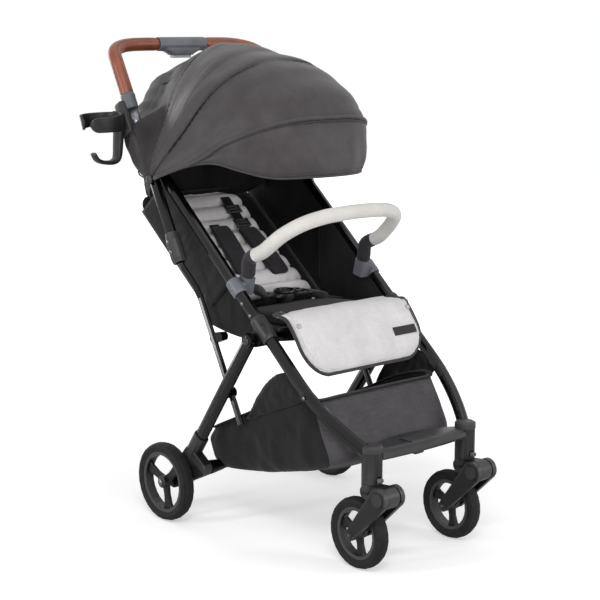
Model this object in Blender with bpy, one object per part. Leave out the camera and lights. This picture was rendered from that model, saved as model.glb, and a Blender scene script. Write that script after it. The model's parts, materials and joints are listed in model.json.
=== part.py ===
"""Compact folding stroller with a canopy, a padded bumper bar and swivelling front wheels.

The child faces -Y. Side views are written as (y, z) pairs, x is the distance from the middle plane,
and a side of 1 or -1 makes the left or the right piece of each pair.
"""
import math

import bmesh
import bpy
from mathutils import Matrix, Vector

# Wheels
REAR_TYRE_DIAMETER = 0.1658
REAR_TYRE_WIDTH = 0.030
REAR_WHEEL_X = 0.235
REAR_RIM_RADIUS = 0.0650
FRONT_TYRE_DIAMETER = 0.1412
FRONT_TYRE_WIDTH = 0.028
FRONT_RIM_RADIUS = 0.0520
RIM_RING_DEPTH = 0.0075
HUB_RADIUS = 0.0125
SPOKE_COUNT = 3
SPOKE_HALF_WIDTH = 0.0085
SPOKE_THICKNESS = 0.010
AXLE_RADIUS = 0.0050
TREAD_GROOVE = 0.0012

# Casters
POST_X = 0.130
POST_Y = -0.509
POST_RADIUS = 0.0200
POST_TOP = 0.2510
SWIVEL_HEIGHT = 0.1775
SWIVEL_PIN_RADIUS = 0.0060
SWIVEL_PIN_LENGTH = 0.030
HEAD_BOTTOM = 0.1560
KNUCKLE_Y = -0.550
KNUCKLE_Z = 0.1570
KNUCKLE_RADIUS = 0.0215
KNUCKLE_LENGTH = 0.0560
FRONT_AXLE_Y = -0.4761
FORK_GAP = 0.0330
FORK_ARM_THICKNESS = 0.0100
FORK_TIP_RADIUS = 0.0115
FORK_PIN_RADIUS = 0.0050
LOCK_TAB_SIZE = (0.0130, 0.0060, 0.0090)
LOCK_TAB_Z = 0.1860
LOCK_SHANK_WIDTH = 0.0090
LOCK_SHANK_HEIGHT = 0.0060
LOCK_SLOT_DEPTH = 0.0150
LOCK_TRAVEL = 0.0040

# Side tubes and handle tubes, which cross at the handle pivot
HANDLE_PIVOT = (0.0636, 0.7222)
SIDE_TUBE_X = 0.1840
SIDE_TUBE_RADIUS = 0.01225
SIDE_TUBE_ANGLE = math.radians(40.97)
SIDE_TUBE_STRAIGHT = 0.5677
SIDE_TUBE_TOP = 0.0250
TUBE_ENTRY = (0.1330, -0.5050, 0.2320)
HANDLE_TUBE_X = 0.2085
HANDLE_TUBE_RADIUS = 0.0115
HANDLE_TUBE_BORE = 0.0100
HANDLE_TUBE_ANGLE = math.radians(62.28)
HANDLE_TUBE_BELOW = 0.1950
HANDLE_BORE_DEPTH = 0.1450
HANDLE_BEND = [(0.2085, 0.1720, 0.9285), (0.2075, 0.1850, 0.9490), (0.2005, 0.2030, 0.9640),
               (0.1860, 0.2180, 0.9745), (0.1640, 0.2290, 0.9810), (0.1370, 0.2350, 0.9845), (0.1050, 0.2370, 0.9855)]
GRIP_RADIUS = 0.0140
GRIP_START_Z = 0.8900
COLLAR_LENGTH = 0.0240
HOUSING_HALF_LENGTH = 0.0640
BUTTON_TRAVEL = 0.0040

# Rear legs and struts
LEG_PIVOT = (-0.2453, 0.4196)
LEG_X = 0.2080
LEG_DEPTH = 0.0280
LEG_WIDTH = 0.0190
LEG_ANGLE = math.radians(55.24)
LEG_LENGTH = 0.3480
STRUT_PIVOT_ON_LEG = 0.1496
STRUT_X = 0.1870
STRUT_RADIUS = 0.0065
STRUT_TAIL = 0.0690
SLIDE_ROD_RADIUS = 0.0035
SLIDE_ROD_LENGTH = 0.1350
CASTING_WIDTH = 0.0235
CASTING_BOOT_RADIUS = 0.0180
CROSS_TUBE_RADIUS = 0.0095
CROSS_TUBE = (-0.0970, 0.1270)
PIVOT_PIN_RADIUS = 0.0050

# Bumper bar
BAR_X = 0.1600
BAR_RADIUS = 0.0145
BAR_PLUG_RADIUS = 0.0085
BAR_PLUG_LENGTH = 0.0260
BAR_MOUNT = (-0.1830, 0.5340)
BAR_LEAN = math.radians(14.0)
BAR_BEND_STEPS = 1

# Seat
SEAT_CREASE = (-0.0850, 0.4550)
SEAT_CREST = (-0.2800, 0.4700)
SEAT_HALF_WIDTH = 0.1480
SEAT_PAD_THICKNESS = 0.0200
BUCKLE_FROM_CREASE = 0.0180
BUCKLE_DIP = 0.0009
SEAT_LIP_HALF_WIDTH = 0.1300
SEAT_LIP_THICKNESS = 0.0030
SEAT_LIP_JOIN = 0.0100
SEAT_LIP_BELOW_HINGE = 0.0050
BOARD_THICKNESS = 0.0080
BACK_ANGLE = math.radians(39.8)
BACK_LENGTH = 0.3360
BACK_HALF_WIDTH = 0.1350
BACK_PAD_THICKNESS = 0.0240
CHANNEL_PITCH = 0.0460
CHANNEL_DEPTH = 0.0045
CALF_HALF_WIDTH = 0.1640
CALF_CORNER = 0.0700
CALF_PAD_THICKNESS = 0.0150
CLOTH = 0.0025
SKIRT_HALF_WIDTH = 0.1605
SKIRT_BELOW_TUBE = 0.0345
SKIRT_FRONT = -0.2900
SKIRT_BACK = -0.0440
SKIRT_FLOOR = 0.4180
SKIRT_SAG = 0.0150
SKIRT_TAPER = 0.0002
WING_FOLD = 0.0008

# Canopy, measured round its own pivot on the handle tube
CANOPY_PIVOT_ABOVE = 0.0500
CANOPY_HALF_WIDTH = 0.1962
CANOPY_REACH = [(-48.0, 0.196), (-20.0, 0.208), (10.0, 0.226), (35.7, 0.2505), (57.0, 0.218), (78.0, 0.2155),
                (97.0, 0.2245), (122.0, 0.2434), (136.5, 0.2744), (146.0, 0.2990), (158.7, 0.3318),
                (170.7, 0.3474), (185.7, 0.3600)]
CANOPY_TURNS = (6, 16, 30, 45, 60, 75, 90, 105, 120, 135, 150, 164, 174)
REAR_BOW_ANGLE = 84.0
MIDDLE_BOW_ANGLE = 136.5
FRONT_BOW_ANGLE = 170.7
VISOR_BOW_ANGLE = 185.7
BOW_WIDTH = 0.0060
BOW_THICKNESS = 0.0034
BOW_STEP = 0.0050
CANOPY_STUD_RADIUS = 0.0040

# Cup holder on the right handle tube
CUP_CENTRE = (-0.2830, 0.1350, 0.8300)
CUP_RADIUS = 0.0380
CUP_WALL = 0.0040

# Clearances
SEAT_GAP = 0.0003
RUNNING_GAP = 0.0005
SLIDING_GAP = 0.0004

CANOPY_CLOTH = CLOTH * 0.8
BOW_X = CANOPY_HALF_WIDTH - CANOPY_CLOTH - BOW_THICKNESS / 2 - 0.0004
BOW_INSET = CANOPY_CLOTH + BOW_THICKNESS / 2 + 0.0008
TUBE_INNER_FACE = SIDE_TUBE_X - SIDE_TUBE_RADIUS
BACK_PANEL_HALF_WIDTH = SKIRT_HALF_WIDTH - CLOTH - SKIRT_TAPER - RUNNING_GAP
BASKET_TIE_X = TUBE_INNER_FACE - SEAT_GAP - 0.0003

LEFT, RIGHT = 1, -1
SIDE_NAMES = {LEFT: "left", RIGHT: "right"}


# Scene, materials and bodies

for old in list(bpy.data.objects):
    bpy.data.objects.remove(old, do_unlink=True)

MATERIALS = {}
PALETTE = {
    "black_tube": ((0.020, 0.020, 0.022), 0.35, 0.6),
    "dark_plastic": ((0.045, 0.046, 0.050), 0.55, 0.0),
    "grey_plastic": ((0.170, 0.175, 0.185), 0.50, 0.0),
    "silver_button": ((0.550, 0.560, 0.580), 0.35, 0.4),
    "brown_leatherette": ((0.230, 0.075, 0.035), 0.55, 0.0),
    "foam_tyre": ((0.022, 0.022, 0.023), 0.80, 0.0),
    "charcoal_cloth": ((0.060, 0.060, 0.065), 0.90, 0.0),
    "black_cloth": ((0.020, 0.020, 0.022), 0.90, 0.0),
    "pale_cloth": ((0.560, 0.555, 0.550), 0.90, 0.0),
    "steel_pin": ((0.600, 0.600, 0.600), 0.30, 1.0),
}


def material(name):
    if name not in MATERIALS:
        colour, roughness, metallic = PALETTE[name]
        made = bpy.data.materials.new(name)
        made.use_nodes = True
        shader = made.node_tree.nodes["Principled BSDF"]
        shader.inputs["Base Color"].default_value = (*colour, 1.0)
        shader.inputs["Roughness"].default_value = roughness
        shader.inputs["Metallic"].default_value = metallic
        MATERIALS[name] = made
    return MATERIALS[name]


stroller = bpy.data.objects.new("stroller", None)
bpy.context.scene.collection.objects.link(stroller)
BODIES = {}


def body(name, x, y, z):
    """An empty on the joint axis that carries the pieces of one moving body."""
    empty = bpy.data.objects.new(name + "_axis", None)
    empty.empty_display_size = 0.02
    empty.location = (x, y, z)
    empty.parent = stroller
    bpy.context.scene.collection.objects.link(empty)
    BODIES[name] = empty
    return empty


def keep(piece, name, material_name, body_name, sharp=35.0):
    """Names a finished piece, gives it its material and hangs it on its body's empty."""
    piece.name = name
    piece.data.name = name
    piece.data.materials.clear()
    own = material(material_name).copy()
    own.name = name + "_" + material_name
    piece.data.materials.append(own)
    piece.data.shade_smooth()
    piece.data.set_sharp_from_angle(angle=math.radians(sharp))
    empty = BODIES[body_name]
    piece.data.transform(Matrix.Translation(-Vector(empty.location)))
    piece.parent = empty
    return piece


# Modelling operations

def from_bmesh(bm):
    bmesh.ops.remove_doubles(bm, verts=bm.verts, dist=0.00001)
    bmesh.ops.recalc_face_normals(bm, faces=bm.faces)
    mesh = bpy.data.meshes.new("piece")
    bm.to_mesh(mesh)
    bm.free()
    piece = bpy.data.objects.new("piece", mesh)
    bpy.context.scene.collection.objects.link(piece)
    return piece


def loft(rings, closed=False):
    """A skin over rings of equal point counts, capped at both ends unless the rings close on themselves."""
    bm = bmesh.new()
    rows = [[bm.verts.new(point) for point in ring] for ring in rings]
    pairs = list(zip(rows, rows[1:]))
    if closed:
        pairs.append((rows[-1], rows[0]))
    for low, high in pairs:
        for i in range(len(low)):
            j = (i + 1) % len(low)
            bm.faces.new((low[i], low[j], high[j], high[i]))
    if not closed:
        bm.faces.new(reversed(rows[0]))
        bm.faces.new(rows[-1])
    return from_bmesh(bm)


def thick_sheet(outer, inner):
    """A closed solid between two grids of the same size, joined round their four edges."""
    bm = bmesh.new()
    skins = [[[bm.verts.new(point) for point in row] for row in grid] for grid in (outer, inner)]
    for grid in skins:
        for low, high in zip(grid, grid[1:]):
            for i in range(len(low) - 1):
                bm.faces.new((low[i], low[i + 1], high[i + 1], high[i]))
    edges = []
    for grid in skins:
        edges.append(grid[0] + [row[-1] for row in grid[1:]] + grid[-1][-2::-1] + [row[0] for row in grid[-2:0:-1]])
    for i in range(len(edges[0])):
        j = (i + 1) % len(edges[0])
        bm.faces.new((edges[0][i], edges[0][j], edges[1][j], edges[1][i]))
    return from_bmesh(bm)


def circle(radius, sides, squash=1.0, turn=0.0):
    return [(radius * math.cos(turn + 2 * math.pi * i / sides), radius * squash * math.sin(turn + 2 * math.pi * i / sides))
            for i in range(sides)]


def rounded_box(width, height, radius, steps=3):
    """Outline of a rounded rectangle about its centre."""
    points = []
    for cx, cy, start in ((1, 1, 0), (-1, 1, 90), (-1, -1, 180), (1, -1, 270)):
        for k in range(steps + 1):
            a = math.radians(start + 90 * k / steps)
            points.append((cx * (width / 2 - radius) + radius * math.cos(a), cy * (height / 2 - radius) + radius * math.sin(a)))
    return points


def sweep_rings(path, outlines, across=Vector((1, 0, 0))):
    """Rings square to a path. The first outline coordinate runs along the part of across that is square to it."""
    rings = []
    path = [Vector(point) for point in path]
    side = across.normalized()
    for i, point in enumerate(path):
        ahead = path[min(i + 1, len(path) - 1)] - path[max(i - 1, 0)]
        ahead.normalize()
        side = (side - ahead * side.dot(ahead)).normalized()
        up = ahead.cross(side)
        outline = outlines[i] if isinstance(outlines[0][0], (list, tuple)) else outlines
        rings.append([point + side * u + up * v for u, v in outline])
    return rings


def sweep(path, outlines, across=Vector((1, 0, 0))):
    return loft(sweep_rings(path, outlines, across))


def sleeve(path, outer, inner, across=Vector((1, 0, 0))):
    """A hollow sweep, open at both ends."""
    outside = sweep_rings(path, outer, across)
    inside = sweep_rings(path, inner, across)
    return loft(outside + inside[::-1], closed=True)


def turned(profile, centre, axis, sides=24, ring=False):
    """A profile of (along, radius) pairs turned round an axis through a point. A ring profile closes on itself."""
    axis = Vector(axis).normalized()
    side = axis.orthogonal().normalized()
    other = axis.cross(side)
    centre = Vector(centre)
    rings = []
    for along, radius in profile:
        rings.append([centre + axis * along + side * radius * math.cos(2 * math.pi * k / sides)
                      + other * radius * math.sin(2 * math.pi * k / sides) for k in range(sides)])
    return loft(rings, closed=ring)


def rod(start, end, radius, sides=12):
    start, end = Vector(start), Vector(end)
    return turned([(0.0, radius), ((end - start).length, radius)], start, end - start, sides)


def plate(outline, x0, x1, bevel=0.0):
    """A side view outline of (y, z) points given thickness along x, with softened edges."""
    piece = loft([[(x0, y, z) for y, z in outline], [(x1, y, z) for y, z in outline]])
    if bevel:
        soften(piece, bevel)
    return piece


def soften(piece, width, segments=1, angle=40.0):
    bevel = piece.modifiers.new("soften", "BEVEL")
    bevel.width = width
    bevel.segments = segments
    bevel.limit_method = "ANGLE"
    bevel.angle_limit = math.radians(angle)
    bevel.use_clamp_overlap = True
    settle(piece)


def settle(piece):
    """Applies the modifiers of a piece."""
    bpy.context.view_layer.update()
    evaluated = piece.evaluated_get(bpy.context.evaluated_depsgraph_get())
    mesh = bpy.data.meshes.new_from_object(evaluated)
    old = piece.data
    piece.modifiers.clear()
    piece.data = mesh
    bpy.data.meshes.remove(old)


def combine(piece, others, operation):
    for other in others:
        boolean = piece.modifiers.new(operation, "BOOLEAN")
        boolean.operation = operation
        boolean.object = other
        settle(piece)
        bpy.data.objects.remove(other, do_unlink=True)
    return piece


def join(piece, *others):
    return combine(piece, others, "UNION")


def cut(piece, *others):
    return combine(piece, others, "DIFFERENCE")


def hull_outline(circles, steps=20):
    """Outline round a chain of (y, z, radius) circles, from the outermost points in each direction."""
    points = []
    for k in range(steps):
        a = 2 * math.pi * k / steps
        y, z, r = max(circles, key=lambda c: c[0] * math.cos(a) + c[1] * math.sin(a) + c[2])
        points.append((y + r * math.cos(a), z + r * math.sin(a)))
    return points


def smooth_path(points, steps):
    """Points on a smooth curve through the given ones."""
    points = [Vector(point) for point in points]
    ends = [points[0] * 2 - points[1]] + points + [points[-1] * 2 - points[-2]]
    result = []
    for i in range(1, len(ends) - 2):
        a, b, c, d = ends[i - 1:i + 3]
        for k in range(steps):
            t = k / steps
            result.append(((b * 2) + (c - a) * t + (a * 2 - b * 5 + c * 4 - d) * t * t
                           + (b * 3 - a - c * 3 + d) * t ** 3) * 0.5)
    result.append(points[-1])
    return result


def between(low, high, share):
    return low + (high - low) * share


def lookup(table, value):
    """Smooth value from a table of (place, value) rows."""
    if value <= table[0][0]:
        return table[0][1]
    for (a, left), (b, right) in zip(table, table[1:]):
        if value <= b:
            share = (value - a) / (b - a)
            share = share * share * (3 - 2 * share) * 0.4 + share * 0.6
            return between(left, right, share)
    return table[-1][1]


# Places that the pieces share

def on_side_tube(distance, x=SIDE_TUBE_X):
    """A point on the straight part of a side tube, measured down from the handle pivot."""
    return Vector((x, HANDLE_PIVOT[0] - distance * math.cos(SIDE_TUBE_ANGLE), HANDLE_PIVOT[1] - distance * math.sin(SIDE_TUBE_ANGLE)))


def on_handle_tube(distance, x=HANDLE_TUBE_X):
    """A point on the straight part of a handle tube, measured down from the handle pivot."""
    return Vector((x, HANDLE_PIVOT[0] - distance * math.cos(HANDLE_TUBE_ANGLE), HANDLE_PIVOT[1] - distance * math.sin(HANDLE_TUBE_ANGLE)))


def on_leg(distance, x=LEG_X):
    """A point on a rear leg, measured down from its pivot."""
    return Vector((x, LEG_PIVOT[0] + distance * math.cos(LEG_ANGLE), LEG_PIVOT[1] - distance * math.sin(LEG_ANGLE)))


def mirrored(point, side):
    return Vector((point[0] * side, point[1], point[2]))


STRUT_PIVOT = on_leg(STRUT_PIVOT_ON_LEG, STRUT_X)
CANOPY_PIVOT = on_handle_tube(-CANOPY_PIVOT_ABOVE)
REAR_AXLE = (0.0, REAR_TYRE_DIAMETER / 2)
FRONT_AXLE = (FRONT_AXLE_Y, FRONT_TYRE_DIAMETER / 2)
CALF_HINGE = (SEAT_CREST[0] + 0.0010, SEAT_CREST[1] + 0.0050)

body("front_frame", 0, *HANDLE_PIVOT)
body("rear_frame", 0, *LEG_PIVOT)
body("handle_frame", 0, *HANDLE_PIVOT)
body("struts", 0, STRUT_PIVOT.y, STRUT_PIVOT.z)
body("canopy_front", 0, CANOPY_PIVOT.y, CANOPY_PIVOT.z)
body("canopy_middle", 0, CANOPY_PIVOT.y, CANOPY_PIVOT.z)
body("backrest", 0, *SEAT_CREASE)
body("calf_rest", 0, *CALF_HINGE)
body("bumper", 0, *BAR_MOUNT)
body("fold_button", 0, 0.2370, 0.9600)
body("buckle_button", 0, -0.1130, 0.4790)
body("brake_pedal", 0, *CROSS_TUBE)
for side in (LEFT, RIGHT):
    word = SIDE_NAMES[side]
    body("rear_wheel_" + word, REAR_WHEEL_X * side, *REAR_AXLE)
    body("caster_" + word, POST_X * side, POST_Y, SWIVEL_HEIGHT)
    body("fork_" + word, POST_X * side, KNUCKLE_Y, KNUCKLE_Z)
    body("front_wheel_" + word, POST_X * side, *FRONT_AXLE)
    body("swivel_lock_" + word, POST_X * side, POST_Y, LOCK_TAB_Z)


# Front frame

def side_tube_path(side, grow=0.0):
    straight_end = on_side_tube(SIDE_TUBE_STRAIGHT)
    down = Vector((0, -math.cos(SIDE_TUBE_ANGLE), -math.sin(SIDE_TUBE_ANGLE)))
    entry = Vector(TUBE_ENTRY)
    first = straight_end + down * 0.0720
    last = entry + Vector((0.0235, 0.0315, 0.0290)) * 0.95
    path = [on_side_tube(-SIDE_TUBE_TOP - grow), on_side_tube(0.20), on_side_tube(0.40)]
    for k in range(9):
        t = k / 8
        path.append(straight_end * (1 - t) ** 3 + first * 3 * t * (1 - t) ** 2 + last * 3 * t * t * (1 - t) + entry * t ** 3)
    return [mirrored(point, side) for point in path]


def build_side_tube(side):
    tube = sweep(side_tube_path(side), circle(SIDE_TUBE_RADIUS, 14))
    pin = rod(mirrored(on_side_tube(0), side), mirrored(on_side_tube(0, HANDLE_TUBE_X + 0.0060), side), PIVOT_PIN_RADIUS - 0.0010, 12)
    join(tube, pin)
    keep(tube, "side_tube_" + SIDE_NAMES[side], "black_tube", "front_frame")


def build_caster_post(side):
    height = POST_TOP - SWIVEL_HEIGHT - SLIDING_GAP
    bottom = (POST_X * side, POST_Y, SWIVEL_HEIGHT + SLIDING_GAP)
    profile = [(0.0, POST_RADIUS), (height * 0.80, POST_RADIUS), (height * 0.81, POST_RADIUS + 0.0010),
               (height - 0.0030, POST_RADIUS + 0.0010), (height, POST_RADIUS - 0.0035)]
    post = turned(profile, bottom, (0, 0, 1), 20)
    path = side_tube_path(side)
    beyond = path[-1] + (path[-1] - path[-2]).normalized() * 0.0010
    rings = sweep_rings(path + [beyond], circle(SIDE_TUBE_RADIUS + SEAT_GAP + 0.0002, 14))
    bore = turned([(-0.01, SWIVEL_PIN_RADIUS + RUNNING_GAP), (SWIVEL_PIN_LENGTH + 0.001, SWIVEL_PIN_RADIUS + RUNNING_GAP)], bottom, (0, 0, 1), 16)
    width, depth, tall = LOCK_TAB_SIZE
    slot = sweep([(POST_X * side, POST_Y - LOCK_SLOT_DEPTH, LOCK_TAB_Z + LOCK_TRAVEL / 2), (POST_X * side, POST_Y - 0.040, LOCK_TAB_Z + LOCK_TRAVEL / 2)],
                 rounded_box(LOCK_SHANK_WIDTH + 2 * SLIDING_GAP, LOCK_SHANK_HEIGHT + LOCK_TRAVEL + 2 * SLIDING_GAP, 0.0010, 1))
    cut(post, loft(rings), bore, slot)
    keep(post, "caster_post_" + SIDE_NAMES[side], "dark_plastic", "front_frame")


def build_footboard():
    rings = []
    span = POST_X
    for k in range(13):
        x = between(-span, span, k / 12)
        bow = 1 - (x / span) ** 2
        front = POST_Y - 0.0130 - 0.0150 * bow
        back = POST_Y + 0.0180 + 0.0300 * bow
        top = 0.2390 + 0.0030 * bow
        ring = [(front, top - 0.0140), (front + 0.0015, top - 0.0065), (front + 0.0070, top - 0.0015), (front + 0.0150, top),
                (back - 0.0040, top - 0.0020), (back, top - 0.0050), (back - 0.0010, top - 0.0130),
                (front + 0.0100, top - 0.0200), (front + 0.0030, top - 0.0190)]
        rings.append([(x, y, z) for y, z in ring])
    board = loft(rings)
    for side in (LEFT, RIGHT):
        cutter = turned([(0.0, POST_RADIUS + 0.0013), (0.2, POST_RADIUS + 0.0013)], (POST_X * side, POST_Y, 0.15), (0, 0, 1), 24)
        cut(board, cutter)
        clear = plate([(-0.60, 0.15), (-0.40, 0.15), (-0.40, 0.35), (-0.60, 0.35)], side * (POST_X - 0.004), side * (POST_X + 0.02))
        cut(board, clear)
    pad = plate([(-0.5250, 0.2400), (-0.4900, 0.2400), (-0.4910, 0.2432), (-0.5230, 0.2432)], -0.038, 0.022)
    catch = plate([(-0.5150, 0.2260), (-0.5010, 0.2260), (-0.5010, 0.2090), (-0.5090, 0.2090)], -0.012, 0.010)
    join(board, pad, catch)
    keep(board, "footboard", "grey_plastic", "front_frame")


def build_leg_bracket(side):
    """Wraps the side tube and carries the hinge pin of the rear leg behind it."""
    along = Vector(on_side_tube(0) - on_side_tube(1)).normalized()
    pivot = Vector((SIDE_TUBE_X, *LEG_PIVOT))
    foot = on_side_tube((on_side_tube(0) - pivot).dot(along))
    middle = mirrored(foot, side)
    up = mirrored(along, side)
    wrap = turned([(-0.0260, SIDE_TUBE_RADIUS + 0.0025), (-0.0200, SIDE_TUBE_RADIUS + 0.0040),
                   (0.0240, SIDE_TUBE_RADIUS + 0.0040), (0.0300, SIDE_TUBE_RADIUS + 0.0025)], middle, up, 16)
    inner = LEG_X - LEG_WIDTH / 2 - 0.0010
    lug = plate(hull_outline([(foot.y, foot.z, 0.0150), (pivot.y, pivot.z, 0.0150)]), side * (SIDE_TUBE_X - 0.0120), side * 0.1960, 0.001)
    pin = rod(mirrored((SIDE_TUBE_X, *LEG_PIVOT), side), mirrored((LEG_X + LEG_WIDTH / 2 + 0.0025, *LEG_PIVOT), side), PIVOT_PIN_RADIUS)
    head = turned([(0.0, 0.0085), (0.0030, 0.0065)], mirrored((LEG_X + LEG_WIDTH / 2 + RUNNING_GAP, *LEG_PIVOT), side), (side, 0, 0), 12)
    washer = rod(mirrored((SIDE_TUBE_X, *LEG_PIVOT), side), mirrored((inner + 0.0005, *LEG_PIVOT), side), 0.0110)
    join(wrap, lug, washer, pin, head)
    hole = rod(mirrored(on_side_tube(0.30), side), mirrored(on_side_tube(0.55), side), SIDE_TUBE_RADIUS + SEAT_GAP + 0.0002)
    cut(wrap, hole)
    keep(wrap, "leg_bracket_" + SIDE_NAMES[side], "dark_plastic", "front_frame")


def bar_direction():
    return Vector((0, -math.sin(BAR_LEAN), math.cos(BAR_LEAN)))


def build_bar_mount(side):
    """Clamp round the side tube with the socket that the bumper bar's plug drops into."""
    top = mirrored((BAR_X, *BAR_MOUNT), side)
    down = top - bar_direction() * (BAR_PLUG_LENGTH + 0.0080)
    socket = sweep([down, top], rounded_box(0.0250, 0.0300, 0.0070))
    middle = on_side_tube(0.3200)
    along = Vector(on_side_tube(0) - on_side_tube(1)).normalized()
    clamp = turned([(-0.0180, SIDE_TUBE_RADIUS + 0.0020), (-0.0140, SIDE_TUBE_RADIUS + 0.0035), (0.0140, SIDE_TUBE_RADIUS + 0.0035),
                    (0.0180, SIDE_TUBE_RADIUS + 0.0020)], mirrored(middle, side), mirrored(along, side), 16)
    bridge = sweep([mirrored((BAR_X, middle.y - 0.002, middle.z + 0.001), side), mirrored((SIDE_TUBE_X, middle.y, middle.z), side)],
                   rounded_box(0.0240, 0.0240, 0.0050), Vector((0, 0, 1)))
    join(socket, bridge, clamp)
    hole = rod(mirrored(on_side_tube(0.25), side), mirrored(on_side_tube(0.39), side), SIDE_TUBE_RADIUS + SEAT_GAP + 0.0002)
    plug = turned([(0.0, BAR_PLUG_RADIUS + SLIDING_GAP), (BAR_PLUG_LENGTH + 0.01, BAR_PLUG_RADIUS + SLIDING_GAP)],
                  top - bar_direction() * (BAR_PLUG_LENGTH + SLIDING_GAP), bar_direction(), 16)
    cut(socket, hole, plug)
    keep(socket, "bar_mount_" + SIDE_NAMES[side], "grey_plastic", "front_frame")


# Rear frame

def leg_outline(grow=0.0):
    return rounded_box(LEG_WIDTH + 2 * grow, LEG_DEPTH + 2 * grow, LEG_WIDTH / 2 - 0.0008 + grow, 2)


def build_rear_leg(side):
    path = [mirrored(on_leg(d), side) for d in (-0.0080, 0.10, 0.20, LEG_LENGTH)]
    leg = sweep(path, leg_outline())
    cap = rod(mirrored((LEG_X - LEG_WIDTH / 2 + 0.0006, *on_leg(0)[1:]), side), mirrored((LEG_X + LEG_WIDTH / 2 - 0.0006, *on_leg(0)[1:]), side), LEG_DEPTH / 2, 16)
    join(leg, cap)
    hole = rod(mirrored((LEG_X - 0.02, *LEG_PIVOT), side), mirrored((LEG_X + 0.02, *LEG_PIVOT), side), PIVOT_PIN_RADIUS + RUNNING_GAP)
    cut(leg, hole)
    pin = rod(mirrored(on_leg(STRUT_PIVOT_ON_LEG), side), mirrored(on_leg(STRUT_PIVOT_ON_LEG, STRUT_X - 0.0120), side), PIVOT_PIN_RADIUS - 0.0010, 12)
    rivets = [turned([(0.0, 0.0040), (0.0018, 0.0026)], mirrored(on_leg(d, LEG_X + LEG_WIDTH / 2 - 0.0003), side), (side, 0, 0), 8)
              for d in (0.155, 0.215)]
    join(leg, pin, *rivets)
    keep(leg, "rear_leg_" + SIDE_NAMES[side], "black_tube", "rear_frame")


def build_brake_housing(side):
    """Casting under the leg that carries the stub axle and the end of the cross tube."""
    boot = on_leg(LEG_LENGTH - 0.020)
    circles = [(boot.y, boot.z, CASTING_BOOT_RADIUS), (*REAR_AXLE, 0.0180), (*CROSS_TUBE, 0.0150)]
    casting = plate(hull_outline(circles), side * (LEG_X - CASTING_WIDTH / 2 + 0.0003), side * (LEG_X + CASTING_WIDTH / 2 - 0.0003), 0.0025)
    collar = sweep([mirrored(on_leg(LEG_LENGTH - 0.075), side), mirrored(on_leg(LEG_LENGTH - 0.020), side)],
                   rounded_box(LEG_WIDTH + 0.0050, LEG_DEPTH + 0.0070, LEG_WIDTH / 2 + 0.0020, 2))
    axle = rod(mirrored((LEG_X, *REAR_AXLE), side), mirrored((REAR_WHEEL_X + REAR_TYRE_WIDTH / 2 - 0.0020, *REAR_AXLE), side), AXLE_RADIUS)
    join(casting, collar, axle)
    socket = sweep([mirrored(on_leg(LEG_LENGTH - 0.20), side), mirrored(on_leg(LEG_LENGTH + SEAT_GAP), side)], leg_outline(SEAT_GAP + 0.0002))
    cut(casting, socket)
    keep(casting, "brake_housing_" + SIDE_NAMES[side], "dark_plastic", "rear_frame")


def build_cross_tube():
    half = LEG_X - CASTING_WIDTH / 2 - 0.0003
    cone = 0.0360
    profile = [(-half, 0.0148), (-half + 0.006, 0.0146), (-half + cone, CROSS_TUBE_RADIUS + 0.0012), (-half + cone + 0.0005, CROSS_TUBE_RADIUS)]
    profile += [(-along, radius) for along, radius in reversed(profile)]
    tube = turned(profile, (0, *CROSS_TUBE), (1, 0, 0), 16)
    keep(tube, "cross_tube", "black_tube", "rear_frame")


def build_brake_pedal():
    ring = turned([(-0.030, CROSS_TUBE_RADIUS + 0.0035), (0.030, CROSS_TUBE_RADIUS + 0.0035)], (0, *CROSS_TUBE), (1, 0, 0), 16)
    pedal = sweep([(0, CROSS_TUBE[0] + 0.004, CROSS_TUBE[1]), (0, CROSS_TUBE[0] + 0.035, CROSS_TUBE[1] + 0.004), (0, CROSS_TUBE[0] + 0.060, CROSS_TUBE[1] + 0.010)],
                  [rounded_box(0.050, 0.012, 0.004), rounded_box(0.050, 0.009, 0.004), rounded_box(0.040, 0.007, 0.003)])
    join(ring, pedal)
    hole = rod((-0.05, *CROSS_TUBE), (0.05, *CROSS_TUBE), CROSS_TUBE_RADIUS + RUNNING_GAP, 16)
    cut(ring, hole)
    keep(ring, "brake_pedal", "grey_plastic", "brake_pedal")


# Wheels

def tyre_profile(radius, width, rim_radius):
    """Half round tread with a shallow groove on each side of its crown, over a flat seat."""
    half = width / 2
    inner = rim_radius + SEAT_GAP
    left = [(-half * 0.80, inner), (-half, radius - 0.0085), (-half * 0.84, radius - 0.0028),
            (-half * 0.44, radius - TREAD_GROOVE), (-half * 0.30, radius)]
    return left + [(-along, high) for along, high in reversed(left)]


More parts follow.
